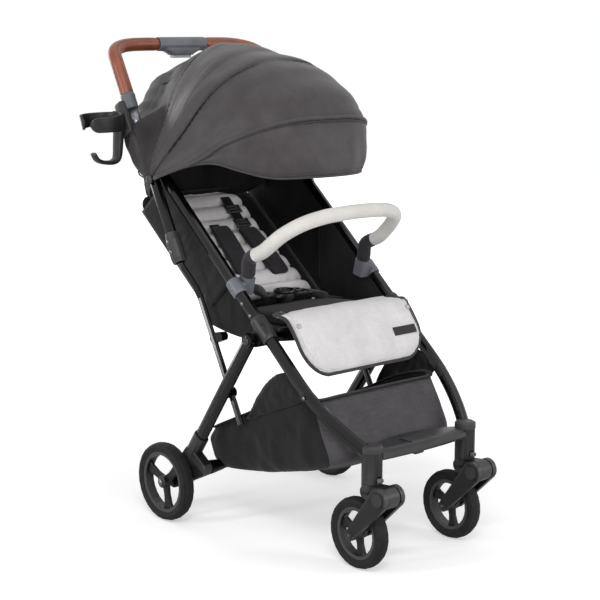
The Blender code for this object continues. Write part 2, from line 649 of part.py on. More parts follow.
def build_wheel(prefix, side, centre_x, axle, radius, width, rim_radius, sides):
    word = SIDE_NAMES[side]
    centre = (centre_x * side, *axle)
    tyre = turned(tyre_profile(radius, width, rim_radius), centre, (1, 0, 0), sides, ring=True)
    keep(tyre, prefix + "_tyre_" + word, "foam_tyre", prefix + "_wheel_" + word, 30)
    ring_half = width * 0.36
    low = rim_radius - RIM_RING_DEPTH
    ring = [(-ring_half, rim_radius), (-ring_half + 0.0010, low), (ring_half - 0.0010, low), (ring_half, rim_radius)]
    rim = turned(ring, centre, (1, 0, 0), sides, ring=True)
    hub = turned([(-width * 0.44, HUB_RADIUS - 0.0020), (-width * 0.40, HUB_RADIUS), (width * 0.40, HUB_RADIUS),
                  (width * 0.44, HUB_RADIUS - 0.0020)], centre, (1, 0, 0), 16)
    spokes = []
    for k in range(SPOKE_COUNT):
        a = 2 * math.pi * k / SPOKE_COUNT + math.radians(20)
        out = Vector((0, math.cos(a), math.sin(a)))
        along = Vector((0, -math.sin(a), math.cos(a)))
        rings = []
        for share, flare in ((0.0, 1.10), (0.40, 0.90), (0.80, 1.20), (1.0, 1.95)):
            at = Vector(centre) + out * between(HUB_RADIUS * 0.5, low + 0.0030, share)
            rings.append([at + along * u + Vector((v, 0, 0)) for u, v in rounded_box(2 * SPOKE_HALF_WIDTH * flare, SPOKE_THICKNESS, 0.0025, 1)])
        spokes.append(loft(rings))
    join(hub, *spokes)
    join(rim, hub)
    bore = rod(Vector(centre) - Vector((0.05, 0, 0)), Vector(centre) + Vector((0.05, 0, 0)), AXLE_RADIUS + RUNNING_GAP)
    cut(rim, bore)
    keep(rim, prefix + "_rim_" + word, "dark_plastic", prefix + "_wheel_" + word)


def build_caster_head(side):
    """Swivel block with its pin, and the tongue that the fork's barrel turns on."""
    base = (POST_X * side, POST_Y, HEAD_BOTTOM)
    height = SWIVEL_HEIGHT - SLIDING_GAP - HEAD_BOTTOM
    head = turned([(0.0, POST_RADIUS - 0.0045), (0.0060, POST_RADIUS - 0.0010), (0.0090, POST_RADIUS), (height, POST_RADIUS),
                   ], base, (0, 0, 1), 24)
    pin = turned([(0.0, SWIVEL_PIN_RADIUS), (SWIVEL_PIN_LENGTH + height - 0.0030, SWIVEL_PIN_RADIUS)], (POST_X * side, POST_Y, HEAD_BOTTOM + 0.0030), (0, 0, 1), 16)
    tongue_half = FORK_GAP / 2 - RUNNING_GAP
    outline = hull_outline([(KNUCKLE_Y, KNUCKLE_Z, KNUCKLE_RADIUS - 0.0010), (POST_Y + 0.004, KNUCKLE_Z + 0.0030, 0.0140)])
    tongue = plate(outline, POST_X * side - tongue_half, POST_X * side + tongue_half, 0.002)
    join(head, pin, tongue)
    hole = rod((POST_X * side - 0.05, KNUCKLE_Y, KNUCKLE_Z), (POST_X * side + 0.05, KNUCKLE_Y, KNUCKLE_Z), FORK_PIN_RADIUS + RUNNING_GAP)
    cut(head, hole)
    keep(head, "caster_head_" + SIDE_NAMES[side], "dark_plastic", "caster_" + SIDE_NAMES[side])


def build_fork(side):
    """Two arms from the barrel to the axle, with the hinge pin and the axle pin across the gap."""
    pieces = []
    arm = hull_outline([(KNUCKLE_Y, KNUCKLE_Z, KNUCKLE_RADIUS), (*FRONT_AXLE, FORK_TIP_RADIUS)], 18)
    for hand in (1, -1):
        inner = FORK_GAP / 2
        outer = inner + FORK_ARM_THICKNESS
        pieces.append(plate(arm, POST_X * side + hand * inner, POST_X * side + hand * outer))
    pins = [rod((POST_X * side - FORK_GAP / 2 - 0.004, *FRONT_AXLE), (POST_X * side + FORK_GAP / 2 + 0.004, *FRONT_AXLE), AXLE_RADIUS),
            rod((POST_X * side - KNUCKLE_LENGTH / 2, KNUCKLE_Y, KNUCKLE_Z), (POST_X * side + KNUCKLE_LENGTH / 2, KNUCKLE_Y, KNUCKLE_Z), FORK_PIN_RADIUS)]
    fork = join(pins[1], pins[0], *pieces)
    for hand in (1, -1):
        face = POST_X * side + hand * (FORK_GAP / 2 + FORK_ARM_THICKNESS - 0.0004)
        boss = turned([(0.0, 0.0150), (0.0030, 0.0138)], (face, KNUCKLE_Y, KNUCKLE_Z), (hand, 0, 0), 12)
        cap = turned([(0.0, 0.0075), (0.0028, 0.0060)], (face, *FRONT_AXLE), (hand, 0, 0), 12)
        join(fork, boss, cap)
    keep(fork, "caster_fork_" + SIDE_NAMES[side], "dark_plastic", "fork_" + SIDE_NAMES[side])


def build_swivel_lock(side):
    """Thumb tab on a shank that slides up and down in the post's slot."""
    width, depth, tall = LOCK_TAB_SIZE
    x = POST_X * side
    shank_end = POST_Y - LOCK_SLOT_DEPTH - SEAT_GAP
    face = POST_Y - POST_RADIUS - 0.0006
    shank = sweep([(x, shank_end, LOCK_TAB_Z), (x, face - 0.0010, LOCK_TAB_Z)], rounded_box(LOCK_SHANK_WIDTH, LOCK_SHANK_HEIGHT, 0.0008, 1))
    tab = sweep([(x, face, LOCK_TAB_Z), (x, face - depth, LOCK_TAB_Z)], [rounded_box(width, tall, 0.0020, 2), rounded_box(width * 0.8, tall * 0.75, 0.0020, 2)])
    join(shank, tab)
    keep(shank, "swivel_lock_" + SIDE_NAMES[side], "grey_plastic", "swivel_lock_" + SIDE_NAMES[side])


# Handle frame

def handle_path(side=None):
    """The right hand end, the bends and the left hand end of the handle's line."""
    half = [on_handle_tube(HANDLE_TUBE_BELOW), on_handle_tube(0), on_handle_tube(-0.19)]
    bend = smooth_path(HANDLE_BEND, 1)
    top = [Vector((0.0500, bend[-1].y, bend[-1].z))]
    half = half + bend + top
    if side:
        return [mirrored(point, side) for point in half]
    return [mirrored(point, RIGHT) for point in half] + [point.copy() for point in reversed(half)]


def build_handle_tube():
    tube = sweep(handle_path(), circle(HANDLE_TUBE_RADIUS, 12))
    for side in (LEFT, RIGHT):
        bore = rod(mirrored(on_handle_tube(HANDLE_TUBE_BELOW + 0.02), side), mirrored(on_handle_tube(HANDLE_TUBE_BELOW - HANDLE_BORE_DEPTH), side), HANDLE_TUBE_BORE, 12)
        pivot = rod(mirrored((HANDLE_TUBE_X - 0.02, *HANDLE_PIVOT), side), mirrored((HANDLE_TUBE_X + 0.0065, *HANDLE_PIVOT), side),
                    PIVOT_PIN_RADIUS - 0.0010 + RUNNING_GAP, 12)
        cut(tube, bore, pivot)
    keep(tube, "handle_tube", "black_tube", "handle_frame")


def grip_path(side):
    """The stretch of the handle's line that the leatherette covers."""
    path = handle_path(side)
    start = on_handle_tube(-(GRIP_START_Z - HANDLE_PIVOT[1]) / math.sin(HANDLE_TUBE_ANGLE))
    upper = [point for point in path if point.z > GRIP_START_Z + 0.01 and abs(point.x) > HOUSING_HALF_LENGTH + 0.02]
    end = Vector((side * (HOUSING_HALF_LENGTH + SEAT_GAP), path[-1].y, path[-1].z))
    return [mirrored(start, side)] + upper + [end]


def build_grip(side):
    grip = sleeve(grip_path(side), circle(GRIP_RADIUS, 12), circle(HANDLE_TUBE_RADIUS + SEAT_GAP, 12))
    keep(grip, "handle_grip_" + SIDE_NAMES[side], "brown_leatherette", "handle_frame")


def build_handle_housing():
    centre = handle_path()[len(handle_path()) // 2]
    back = Vector((0, centre.y, centre.z))
    shell = turned([(-HOUSING_HALF_LENGTH, GRIP_RADIUS + 0.0008), (-HOUSING_HALF_LENGTH + 0.004, GRIP_RADIUS + 0.0014),
                    (HOUSING_HALF_LENGTH - 0.004, GRIP_RADIUS + 0.0014), (HOUSING_HALF_LENGTH, GRIP_RADIUS + 0.0008)], back, (1, 0, 0), 20)
    belly = loft([[(x, back.y + y, back.z - drop) for x, y in rounded_box(2 * half, 2 * deep, deep * 0.9, 3)]
                  for drop, half, deep in ((0.0020, 0.0600, 0.0135), (0.0130, 0.0520, 0.0130), (0.0200, 0.0360, 0.0120), (0.0240, 0.0310, 0.0105))])
    join(shell, belly)
    bore = rod(back - Vector((0.09, 0, 0)), back + Vector((0.09, 0, 0)), HANDLE_TUBE_RADIUS + SEAT_GAP + 0.0002)
    well = loft([[(x, back.y + y, z) for x, y in rounded_box(0.0520 + 2 * SLIDING_GAP, 0.0140 + 2 * SLIDING_GAP, 0.004, 3)] for z in (back.z - 0.0165, back.z - 0.05)])
    cut(shell, bore, well)
    keep(shell, "handle_housing", "grey_plastic", "handle_frame")
    button = loft([[(x, back.y + y, back.z - drop) for x, y in rounded_box(0.0520 - shrink, 0.0140 - shrink, 0.004, 3)]
                   for drop, shrink in ((0.0210, 0.0), (0.0290, 0.0), (0.0302, 0.0020))])
    keep(button, "fold_button", "silver_button", "fold_button")


def build_elbow_cover(side):
    """Moulded end of the handle tube. Its inner face is open, so that it passes the side tube when the frame folds."""
    low, high = HANDLE_TUBE_BELOW + 0.0010, HANDLE_TUBE_BELOW - 0.0640
    path = [mirrored(on_handle_tube(d), side) for d in (low, between(low, high, 0.15), between(low, high, 0.75), high)]
    outlines = [circle(r, 16) for r in (0.0150, 0.0170, 0.0168, 0.0140)]
    cover = sweep(path, outlines)
    hole = rod(mirrored(on_handle_tube(low + 0.01), side), mirrored(on_handle_tube(high - 0.01), side), HANDLE_TUBE_RADIUS + SEAT_GAP + 0.0002)
    face = HANDLE_TUBE_X - HANDLE_TUBE_RADIUS - 0.0001
    flat = plate([(-0.10, 0.50), (0.06, 0.50), (0.06, 0.72), (-0.10, 0.72)], side * (face - 0.02), side * (face + 0.0030))
    cut(cover, hole, flat)
    keep(cover, "elbow_cover_" + SIDE_NAMES[side], "dark_plastic", "handle_frame")


def build_strut(side):
    """Slide rod, shoulder and slender strut in one line that steps inboard under the handle tube."""
    rod_top = HANDLE_TUBE_BELOW - SLIDE_ROD_LENGTH
    shoulder = HANDLE_TUBE_BELOW + 0.0020
    places = [(rod_top, HANDLE_TUBE_X, SLIDE_ROD_RADIUS), (shoulder - 0.0004, HANDLE_TUBE_X, SLIDE_ROD_RADIUS),
              (shoulder, HANDLE_TUBE_X, STRUT_RADIUS), (shoulder + 0.010, HANDLE_TUBE_X - 0.0015, STRUT_RADIUS),
              (shoulder + 0.030, HANDLE_TUBE_X - 0.0090, STRUT_RADIUS), (shoulder + 0.055, STRUT_X + 0.0040, STRUT_RADIUS),
              (shoulder + 0.080, STRUT_X, STRUT_RADIUS), (0.38, STRUT_X, STRUT_RADIUS),
              (0.4807, STRUT_X, STRUT_RADIUS), (0.4807 + STRUT_TAIL, STRUT_X, STRUT_RADIUS)]
    strut = sweep([mirrored(on_handle_tube(d, x), side) for d, x, r in places], [circle(r, 8) for d, x, r in places])
    boss = rod(mirrored((STRUT_X - 0.0080, STRUT_PIVOT.y, STRUT_PIVOT.z), side),
               mirrored((LEG_X - LEG_WIDTH / 2 - SLIDING_GAP, STRUT_PIVOT.y, STRUT_PIVOT.z), side), 0.0105)
    lug_place = on_handle_tube(0.3640, STRUT_X)
    lug = plate(hull_outline([(lug_place.y, lug_place.z, 0.0110), (lug_place.y - 0.0200, lug_place.z + 0.0060, 0.0090)], 20), side * (STRUT_X - 0.0160), side * (STRUT_X + 0.0020), 0.001)
    join(strut, boss, lug)
    hole = rod(mirrored((STRUT_X - 0.04, STRUT_PIVOT.y, STRUT_PIVOT.z), side), mirrored((LEG_X, STRUT_PIVOT.y, STRUT_PIVOT.z), side), PIVOT_PIN_RADIUS - 0.0010 + RUNNING_GAP, 12)
    cut(strut, hole)
    keep(strut, "strut_" + SIDE_NAMES[side], "black_tube", "struts")


def build_cup_holder():
    """Ring with two curved arms on a clip that grips the right handle tube below the grip."""
    clip_low, clip_high = (HANDLE_PIVOT[1] - 0.8000) / math.sin(HANDLE_TUBE_ANGLE), (HANDLE_PIVOT[1] - 0.8640) / math.sin(HANDLE_TUBE_ANGLE)
    clip_path = [mirrored(on_handle_tube(d), RIGHT) for d in (clip_low, between(clip_low, clip_high, 0.1), between(clip_low, clip_high, 0.9), clip_high)]
    clip = sweep(clip_path, [circle(r, 16) for r in (0.0150, 0.0165, 0.0165, 0.0150)])
    cx, cy, cz = CUP_CENTRE
    band_height = 0.0140
    ring_outer = CUP_RADIUS + CUP_WALL
    ring = turned([(0.0, CUP_RADIUS), (0.0, ring_outer), (band_height, ring_outer), (band_height, CUP_RADIUS)], (cx, cy, cz - band_height / 2), (0, 0, 1), 26, ring=True)
    spine_x = cx + ring_outer - 0.0020
    spine = sweep([(spine_x, cy, cz + 0.012), (spine_x, cy + 0.001, cz - 0.020), (spine_x - 0.001, cy + 0.001, cz - 0.060), (spine_x - 0.004, cy, cz - 0.0800)],
                  [rounded_box(0.0090, 0.0240, 0.003, 2), rounded_box(0.0100, 0.0240, 0.003, 2), rounded_box(0.0090, 0.0220, 0.003, 2), rounded_box(0.0080, 0.0200, 0.003, 2)])
    neck = sweep([(spine_x, cy, cz - 0.004), tuple(mirrored(on_handle_tube(between(clip_low, clip_high, 0.5)), RIGHT))], rounded_box(0.0260, 0.0180, 0.004, 2), Vector((0, 0, 1)))
    foot = sweep([(spine_x - 0.002, cy, cz - 0.0760), (spine_x - 0.020, cy, cz - 0.0800), (spine_x - 0.040, cy, cz - 0.0780), (spine_x - 0.056, cy, cz - 0.0690), (spine_x - 0.062, cy, cz - 0.0580)],
                 [rounded_box(0.0200, 0.0070, 0.002, 2), rounded_box(0.0190, 0.0060, 0.002, 2), rounded_box(0.0170, 0.0055, 0.002, 2), rounded_box(0.0140, 0.0050, 0.002, 2), rounded_box(0.0100, 0.0045, 0.002, 2)],
                 Vector((0, 1, 0)))
    join(clip, neck, spine, ring, foot)
    hole = rod(mirrored(on_handle_tube(clip_low + 0.01), RIGHT), mirrored(on_handle_tube(clip_high - 0.01), RIGHT), HANDLE_TUBE_RADIUS + SEAT_GAP + 0.0002)
    mouth = turned([(-0.03, CUP_RADIUS), (0.03, CUP_RADIUS)], (cx, cy, cz), (0, 0, 1), 26)
    face = HANDLE_TUBE_X - HANDLE_TUBE_RADIUS - 0.0001
    flat = plate([(0.08, 0.70), (0.20, 0.70), (0.20, 0.92), (0.08, 0.92)], -face - 0.0003, -face + 0.02)
    cut(clip, hole, mouth, flat)
    keep(clip, "cup_holder", "dark_plastic", "handle_frame")


# Canopy

def canopy_point(angle, turn, inset=0.0, half_width=None):
    """A point on the canopy's arch at an angle round the pivot. turn runs from 0 on the left to 180 on the right."""
    half = (half_width or CANOPY_HALF_WIDTH) - (0 if half_width else inset)
    reach = lookup(CANOPY_REACH, angle) - inset
    c, s = math.cos(math.radians(turn)), math.sin(math.radians(turn))
    x = half * math.copysign(abs(c) ** 0.72, c)
    r = reach * abs(s) ** 0.72
    a = math.radians(angle)
    return Vector((x, CANOPY_PIVOT.y + r * math.cos(a), CANOPY_PIVOT.z + r * math.sin(a)))


def build_canopy():
    angles = [-48, -20, 10, 35.7, 50, 66, 84, 100, 118, 136.5, 147, 159, 170.7, 185.7]
    outer = [[canopy_point(angle, turn) for turn in CANOPY_TURNS] for angle in angles]
    inner = [[canopy_point(angle, turn, CANOPY_CLOTH) for turn in CANOPY_TURNS] for angle in angles]
    keep(thick_sheet(outer, inner), "canopy", "charcoal_cloth", "canopy_front", 60)


def bow_rings(angle, half_width, inset):
    path = [canopy_point(angle, turn, inset, half_width) for turn in (0, *CANOPY_TURNS, 180)]
    return sweep(path, circle(BOW_WIDTH / 2, 6, BOW_THICKNESS / BOW_WIDTH), Vector((0, -math.sin(math.radians(angle)), math.cos(math.radians(angle)))))


def build_bow(name, body_name, angles, half_width, inset, pinned):
    eyes = []
    for side in (LEFT, RIGHT):
        inner, outer = half_width - BOW_THICKNESS / 2 - 0.0003, half_width + BOW_THICKNESS / 2 + 0.0003
        eyes.append(rod(mirrored((inner, CANOPY_PIVOT.y, CANOPY_PIVOT.z), side), mirrored((outer, CANOPY_PIVOT.y, CANOPY_PIVOT.z), side), 0.0100, 12))
    bow = bow_rings(angles[0], half_width, inset)
    join(bow, *[bow_rings(angle, half_width, inset) for angle in angles[1:]], *eyes)
    holes = []
    for side in (LEFT, RIGHT):
        holes.append(rod(mirrored((half_width - 0.02, CANOPY_PIVOT.y, CANOPY_PIVOT.z), side), mirrored((half_width + 0.02, CANOPY_PIVOT.y, CANOPY_PIVOT.z), side),
                         CANOPY_STUD_RADIUS + (RUNNING_GAP if pinned else SEAT_GAP), 12))
    cut(bow, *holes)
    keep(bow, name, "dark_plastic", body_name)


def build_canopy_hub(side):
    """Clip on the handle tube with the stud that the bows turn on."""
    low, high = -CANOPY_PIVOT_ABOVE + 0.0140, -CANOPY_PIVOT_ABOVE - 0.0140
    clip = sweep([mirrored(on_handle_tube(low), side), mirrored(on_handle_tube(high), side)], circle(0.0145, 14))
    hole = rod(mirrored(on_handle_tube(low + 0.01), side), mirrored(on_handle_tube(high - 0.01), side), HANDLE_TUBE_RADIUS + SEAT_GAP + 0.0002)
    face = BOW_X + BOW_THICKNESS / 2 + 0.0003 + RUNNING_GAP
    flat = plate([(0.04, 0.72), (0.14, 0.72), (0.14, 0.82), (0.04, 0.82)], side * (face - 0.006), side * face)
    cut(clip, hole, flat)
    stud = rod(mirrored((face + 0.0010, CANOPY_PIVOT.y, CANOPY_PIVOT.z), side), mirrored((CANOPY_HALF_WIDTH - 0.0190, CANOPY_PIVOT.y, CANOPY_PIVOT.z), side), CANOPY_STUD_RADIUS, 12)
    join(clip, stud)
    keep(clip, "canopy_hub_" + SIDE_NAMES[side], "dark_plastic", "handle_frame")


# Seat, basket and bumper bar

def pad_rings(at, length, half_width, thickness, pitch, corner, steps, columns):
    """Cushion whose sewn channels run across it, with drawn-in sides and rounded far corners."""
    rings = []
    for k in range(steps + 1):
        v = length * k / steps
        near_end = min(v, length - v)
        swell = thickness * (1 - 0.55 * max(0.0, 1 - near_end / (thickness * 1.2)) ** 2)
        swell -= CHANNEL_DEPTH * (1 - abs(math.sin(math.pi * v / pitch)) ** 0.6)
        width = half_width
        if length - v < corner:
            width -= corner * (1 - math.sqrt(max(0.0, 1 - ((corner - (length - v)) / corner) ** 2)))
        ring = []
        for i in range(columns + 1):
            u = between(-1, 1, i / columns)
            crown = (1 - abs(u) ** 5) * 0.85 + 0.15
            ring.append(at(width * u, v, swell * crown))
        for i in range(columns, -1, -2):
            u = between(-1, 1, i / columns)
            ring.append(at(width * u * 0.985, v, 0.0))
        rings.append(ring)
    return rings


def back_frame(u, v, w):
    """Backrest coordinates: across, up from the crease, and out of its front face, from the board's front."""
    base = Vector((u, *SEAT_CREASE))
    up = Vector((0, math.cos(BACK_ANGLE), math.sin(BACK_ANGLE)))
    out = Vector((0, -math.sin(BACK_ANGLE), math.cos(BACK_ANGLE)))
    return base + up * (v + 0.012) + out * (w - BACK_PAD_THICKNESS)


def seat_frame(u, v, w):
    base = Vector((u, SEAT_CREASE[0] - 0.0100, SEAT_CREASE[1] - 0.0060))
    run = Vector((0, SEAT_CREST[0] - SEAT_CREASE[0], SEAT_CREST[1] - SEAT_CREASE[1])).normalized()
    out = Vector((0, run.z, -run.y))
    return base + run * v + out * (w - SEAT_PAD_THICKNESS)


SEAT_RUN = math.hypot(SEAT_CREST[0] - SEAT_CREASE[0], SEAT_CREST[1] - SEAT_CREASE[1]) - 0.0140


def build_seat():
    pad = loft(pad_rings(seat_frame, SEAT_RUN, SEAT_HALF_WIDTH - 0.004, SEAT_PAD_THICKNESS, CHANNEL_PITCH * 1.1, 0.010, 12, 8))
    keep(pad, "seat_cushion", "black_cloth", "front_frame", 50)
    half = SKIRT_HALF_WIDTH - CLOTH - SKIRT_TAPER - SEAT_GAP
    board = loft([[seat_frame(u, v, w - SEAT_GAP) for v, w in ((0.004, 0), (SEAT_RUN - 0.004, 0), (SEAT_RUN - 0.004, -BOARD_THICKNESS), (0.004, -BOARD_THICKNESS))]
                  for u in (-half, half)])
    soften(board, 0.0015, 1)
    lip_y = seat_frame(0, SEAT_RUN, 0).y - 2 * SEAT_GAP
    lip_z = seat_frame(0, SEAT_RUN, 0).z
    lip = plate([(lip_y, lip_z - BOARD_THICKNESS), (lip_y - SEAT_LIP_THICKNESS, lip_z - BOARD_THICKNESS),
                 (lip_y - SEAT_LIP_THICKNESS, CALF_HINGE[1] - SEAT_LIP_BELOW_HINGE), (lip_y, CALF_HINGE[1] - SEAT_LIP_BELOW_HINGE)],
                -SEAT_LIP_HALF_WIDTH, SEAT_LIP_HALF_WIDTH)
    shelf_top = lip_z - 0.30 * BOARD_THICKNESS
    shelf_bottom = lip_z - BOARD_THICKNESS + SEAT_GAP
    shelf = plate([(lip_y + SEAT_LIP_JOIN, shelf_top), (lip_y + SEAT_LIP_JOIN, shelf_bottom),
                   (lip_y - SEAT_LIP_THICKNESS / 2, shelf_bottom), (lip_y - SEAT_LIP_THICKNESS / 2, shelf_top)],
                  -SEAT_LIP_HALF_WIDTH + SEAT_GAP, SEAT_LIP_HALF_WIDTH - SEAT_GAP)
    join(board, lip, shelf)
    keep(board, "seat_board", "dark_plastic", "front_frame")


def build_seat_skirt():
    """Sling under the seat, with side panels that rise to the side tubes."""
    outer, inner = [], []
    for k in range(9):
        y = between(SKIRT_FRONT, SKIRT_BACK, k / 8)
        tube_z = HANDLE_PIVOT[1] + (y - HANDLE_PIVOT[0]) * math.tan(SIDE_TUBE_ANGLE)
        top = tube_z - SKIRT_BELOW_TUBE
        bottom = SKIRT_FLOOR - SKIRT_SAG * math.sin(math.pi * k / 8)
        for grid, inset in ((outer, 0.0), (inner, CLOTH)):
            half = SKIRT_HALF_WIDTH - inset
            low = bottom + inset
            wall = []
            for share in (1.0, 0.7, 0.4, 0.07):
                wall.append((half - SKIRT_TAPER * (1 - share), max(between(low, top, share), low + 0.0015 * (share > 0.9))))
            row = [(x, y, z) for x, z in wall] + [(half - 0.014, y, low), (half * 0.5, y, low - 0.002), (0, y, low - 0.003)]
            row += [(-x, yy, z) for x, yy, z in reversed(row[:-1])]
            grid.append(row)
    keep(thick_sheet(outer, inner), "seat_skirt", "black_cloth", "front_frame", 60)


def build_backrest():
    pad = loft(pad_rings(back_frame, BACK_LENGTH - 0.012, BACK_HALF_WIDTH, BACK_PAD_THICKNESS, CHANNEL_PITCH, 0.055, 35, 8))
    keep(pad, "backrest_pad", "pale_cloth", "backrest", 50)
    rings = []
    length = BACK_LENGTH + 0.006
    for k in range(13):
        v = length * k / 12
        corner = 0.050
        width = BACK_PANEL_HALF_WIDTH
        if length - v < corner:
            width -= corner * (1 - math.sqrt(max(0.0, 1 - ((corner - (length - v)) / corner) ** 2)))
        ring = [(width * s, 0.0) for s in (-1, -0.5, 0, 0.5, 1)] + [(width * s, -BOARD_THICKNESS - 0.010 * (1 - s * s)) for s in (0.98, 0.5, 0, -0.5, -0.98)]
        rings.append([back_frame(u, v, w - SEAT_GAP) for u, w in ring])
    keep(loft(rings), "backrest_board", "black_cloth", "backrest", 50)
    for side in (LEFT, RIGHT):
        rings = []
        for v, u, half, lift, thick in ((0.300, 0.034, 0.0130, SEAT_GAP, 0.0030), (0.250, 0.036, 0.0130, SEAT_GAP, 0.0030), (0.246, 0.036, 0.0240, SEAT_GAP, 0.0120),
                                        (0.180, 0.042, 0.0270, SEAT_GAP, 0.0130), (0.110, 0.046, 0.0260, SEAT_GAP, 0.0130), (0.086, 0.046, 0.0230, SEAT_GAP, 0.0110),
                                        (0.082, 0.046, 0.0130, SEAT_GAP, 0.0035), (0.050, 0.030, 0.0130, SEAT_GAP, 0.0035)):
            rings.append([back_frame(side * u + x, v, BACK_PAD_THICKNESS + lift + thick / 2 + z) for x, z in rounded_box(2 * half, thick, thick * 0.4, 2)])
        keep(loft(rings), "shoulder_strap_" + SIDE_NAMES[side], "black_cloth", "backrest", 50)


def build_side_wing(side):
    """Cloth between the side tube and the edge of the backrest."""
    outer, inner = [], []
    for k in range(9):
        share = k / 8
        top = on_side_tube(between(0.060, 0.290, share), TUBE_INNER_FACE - SEAT_GAP)
        low = back_frame(SKIRT_HALF_WIDTH + CLOTH + SEAT_GAP, between(0.270, 0.035, share), 0.0060)
        for grid, inset in ((outer, 0.0), (inner, -CLOTH)):
            row = []
            for j in range(4):
                point = top.lerp(low, j / 3)
                fold = WING_FOLD * math.sin(math.pi * 6 * share) * math.sin(math.pi * j / 3)
                row.append(((point.x + inset - fold) * side, point.y, point.z))
            grid.append(row)
    keep(thick_sheet(outer, inner), "side_wing_" + SIDE_NAMES[side], "black_cloth", "front_frame", 60)


def build_buckle():
    centre = Vector((0, -0.1130, 0.4700))
    shell = loft([[centre + Vector((x, y, z)) for x, y in circle(r, 16, 0.92)] for z, r in ((-0.0140, 0.0170), (-0.0070, 0.0210), (0.0000, 0.0225), (0.0060, 0.0200))])
    arms = sweep([centre + Vector((-0.0560, 0.004, -0.004)), centre + Vector((-0.03, 0, -0.002)), centre + Vector((0.03, 0, -0.002)), centre + Vector((0.0560, 0.004, -0.004))],
                 [rounded_box(0.0050, 0.0180, 0.002, 2), rounded_box(0.0070, 0.0220, 0.003, 2), rounded_box(0.0070, 0.0220, 0.003, 2), rounded_box(0.0050, 0.0180, 0.002, 2)], Vector((0, 0, 1)))
    strap = sweep([centre + Vector((0, 0, -0.0120)), (centre.x, centre.y, seat_frame(0, BUCKLE_FROM_CREASE, SEAT_PAD_THICKNESS).z - BUCKLE_DIP)], rounded_box(0.0220, 0.0040, 0.0010, 1))
    join(shell, arms, strap)
    well = turned([(0.0, 0.0125), (0.02, 0.0125)], centre + Vector((0, 0, 0.0015)), (0, 0, 1), 20)
    cut(shell, well)
    keep(shell, "buckle", "dark_plastic", "front_frame")
    button = turned([(0.0, 0.0120), (0.0035, 0.0120), (0.0045, 0.0105)], centre + Vector((0, 0, 0.0040)), (0, 0, 1), 20)
    keep(button, "buckle_button", "dark_plastic", "buckle_button")


def calf_point(u, v, w):
    """Calf rest coordinates: across, down from its hinge edge round the lip, and out of its face."""
    line = smooth_path([(0, -0.2790, 0.4735), (0, -0.3050, 0.4620), (0, -0.3330, 0.4290), (0, -0.3530, 0.3950), (0, -0.3680, 0.3560)], 6)
    lengths = [0.0]
    for a, b in zip(line, line[1:]):
        lengths.append(lengths[-1] + (b - a).length)
    total = lengths[-1]
    v = min(max(v, 0.0), 1.0) * total
    for i in range(len(line) - 1):
        if v <= lengths[i + 1] + 1e-9:
            break
    share = (v - lengths[i]) / (lengths[i + 1] - lengths[i])
    point = line[i].lerp(line[i + 1], share)
    ahead = (line[min(i + 2, len(line) - 1)] - line[max(i - 1, 0)]).normalized()
    out = Vector((0, ahead.z, -ahead.y))
    return Vector((u, 0, 0)) + point + out * w


def build_calf_rest():
    length = 0.1580
    rings = []
    for k in range(17):
        share = k / 16
        v = share * length
        width = CALF_HALF_WIDTH - 0.010 * max(0.0, 1 - v / 0.03)
        if length - v < CALF_CORNER:
            width -= CALF_CORNER * (1 - math.sqrt(max(0.0, 1 - ((CALF_CORNER - (length - v)) / CALF_CORNER) ** 2)))
        thin = CALF_PAD_THICKNESS * (0.45 + 0.55 * min(1.0, 4 * share, 6 * (1 - share)))
        ring = [calf_point(width * u, share, (1 - abs(u) ** 6) * thin * 0.7) for u in (-1, -0.9, -0.7, -0.35, 0, 0.35, 0.7, 0.9, 1)]
        ring += [calf_point(width * u * 0.99, share, -thin * 0.3) for u in (1, 0.5, 0, -0.5, -1)]
        rings.append(ring)
    keep(loft(rings), "calf_pad", "pale_cloth", "calf_rest", 50)
    rings = []
    for k in range(7):
        share = between(0.13, 0.86, k / 6)
        rings.append([calf_point(x, share, z - CALF_PAD_THICKNESS * 0.3 - SEAT_GAP) for x, z in ((-0.1300, 0), (0.1300, 0), (0.1300, -0.0080), (-0.1300, -0.0080))])
    board = loft(rings)
    keep(board, "calf_board", "dark_plastic", "calf_rest")


def build_bumper_bar():
    """Padded bar with a plug at each end that drops into its mount."""
    lean = bar_direction()
    foot = Vector((BAR_X, *BAR_MOUNT))
    half = [(foot - lean * BAR_PLUG_LENGTH, BAR_PLUG_RADIUS), (foot + lean * 0.0003, BAR_PLUG_RADIUS), (foot + lean * 0.0006, BAR_RADIUS - 0.0015),
            (foot + lean * 0.0200, BAR_RADIUS)]
    bend = smooth_path([foot + lean * 0.0380, (0.1600, -0.2320, 0.5900), (0.1510, -0.2760, 0.6240), (0.1260, -0.3080, 0.6475), (0.0850, -0.3260, 0.6600), (0.0400, -0.3320, 0.6640), (0.0, -0.3330, 0.6650)], BAR_BEND_STEPS)
    half += [(point, BAR_RADIUS) for point in bend]
    path = [mirrored(point, RIGHT) for point, r in half] + [point for point, r in reversed(half[:-1])]
    sizes = [r for point, r in half] + [r for point, r in reversed(half[:-1])]
    bar = sweep(path, [circle(r, 12) for r in sizes])
    keep(bar, "bumper_bar", "pale_cloth", "bumper", 50)


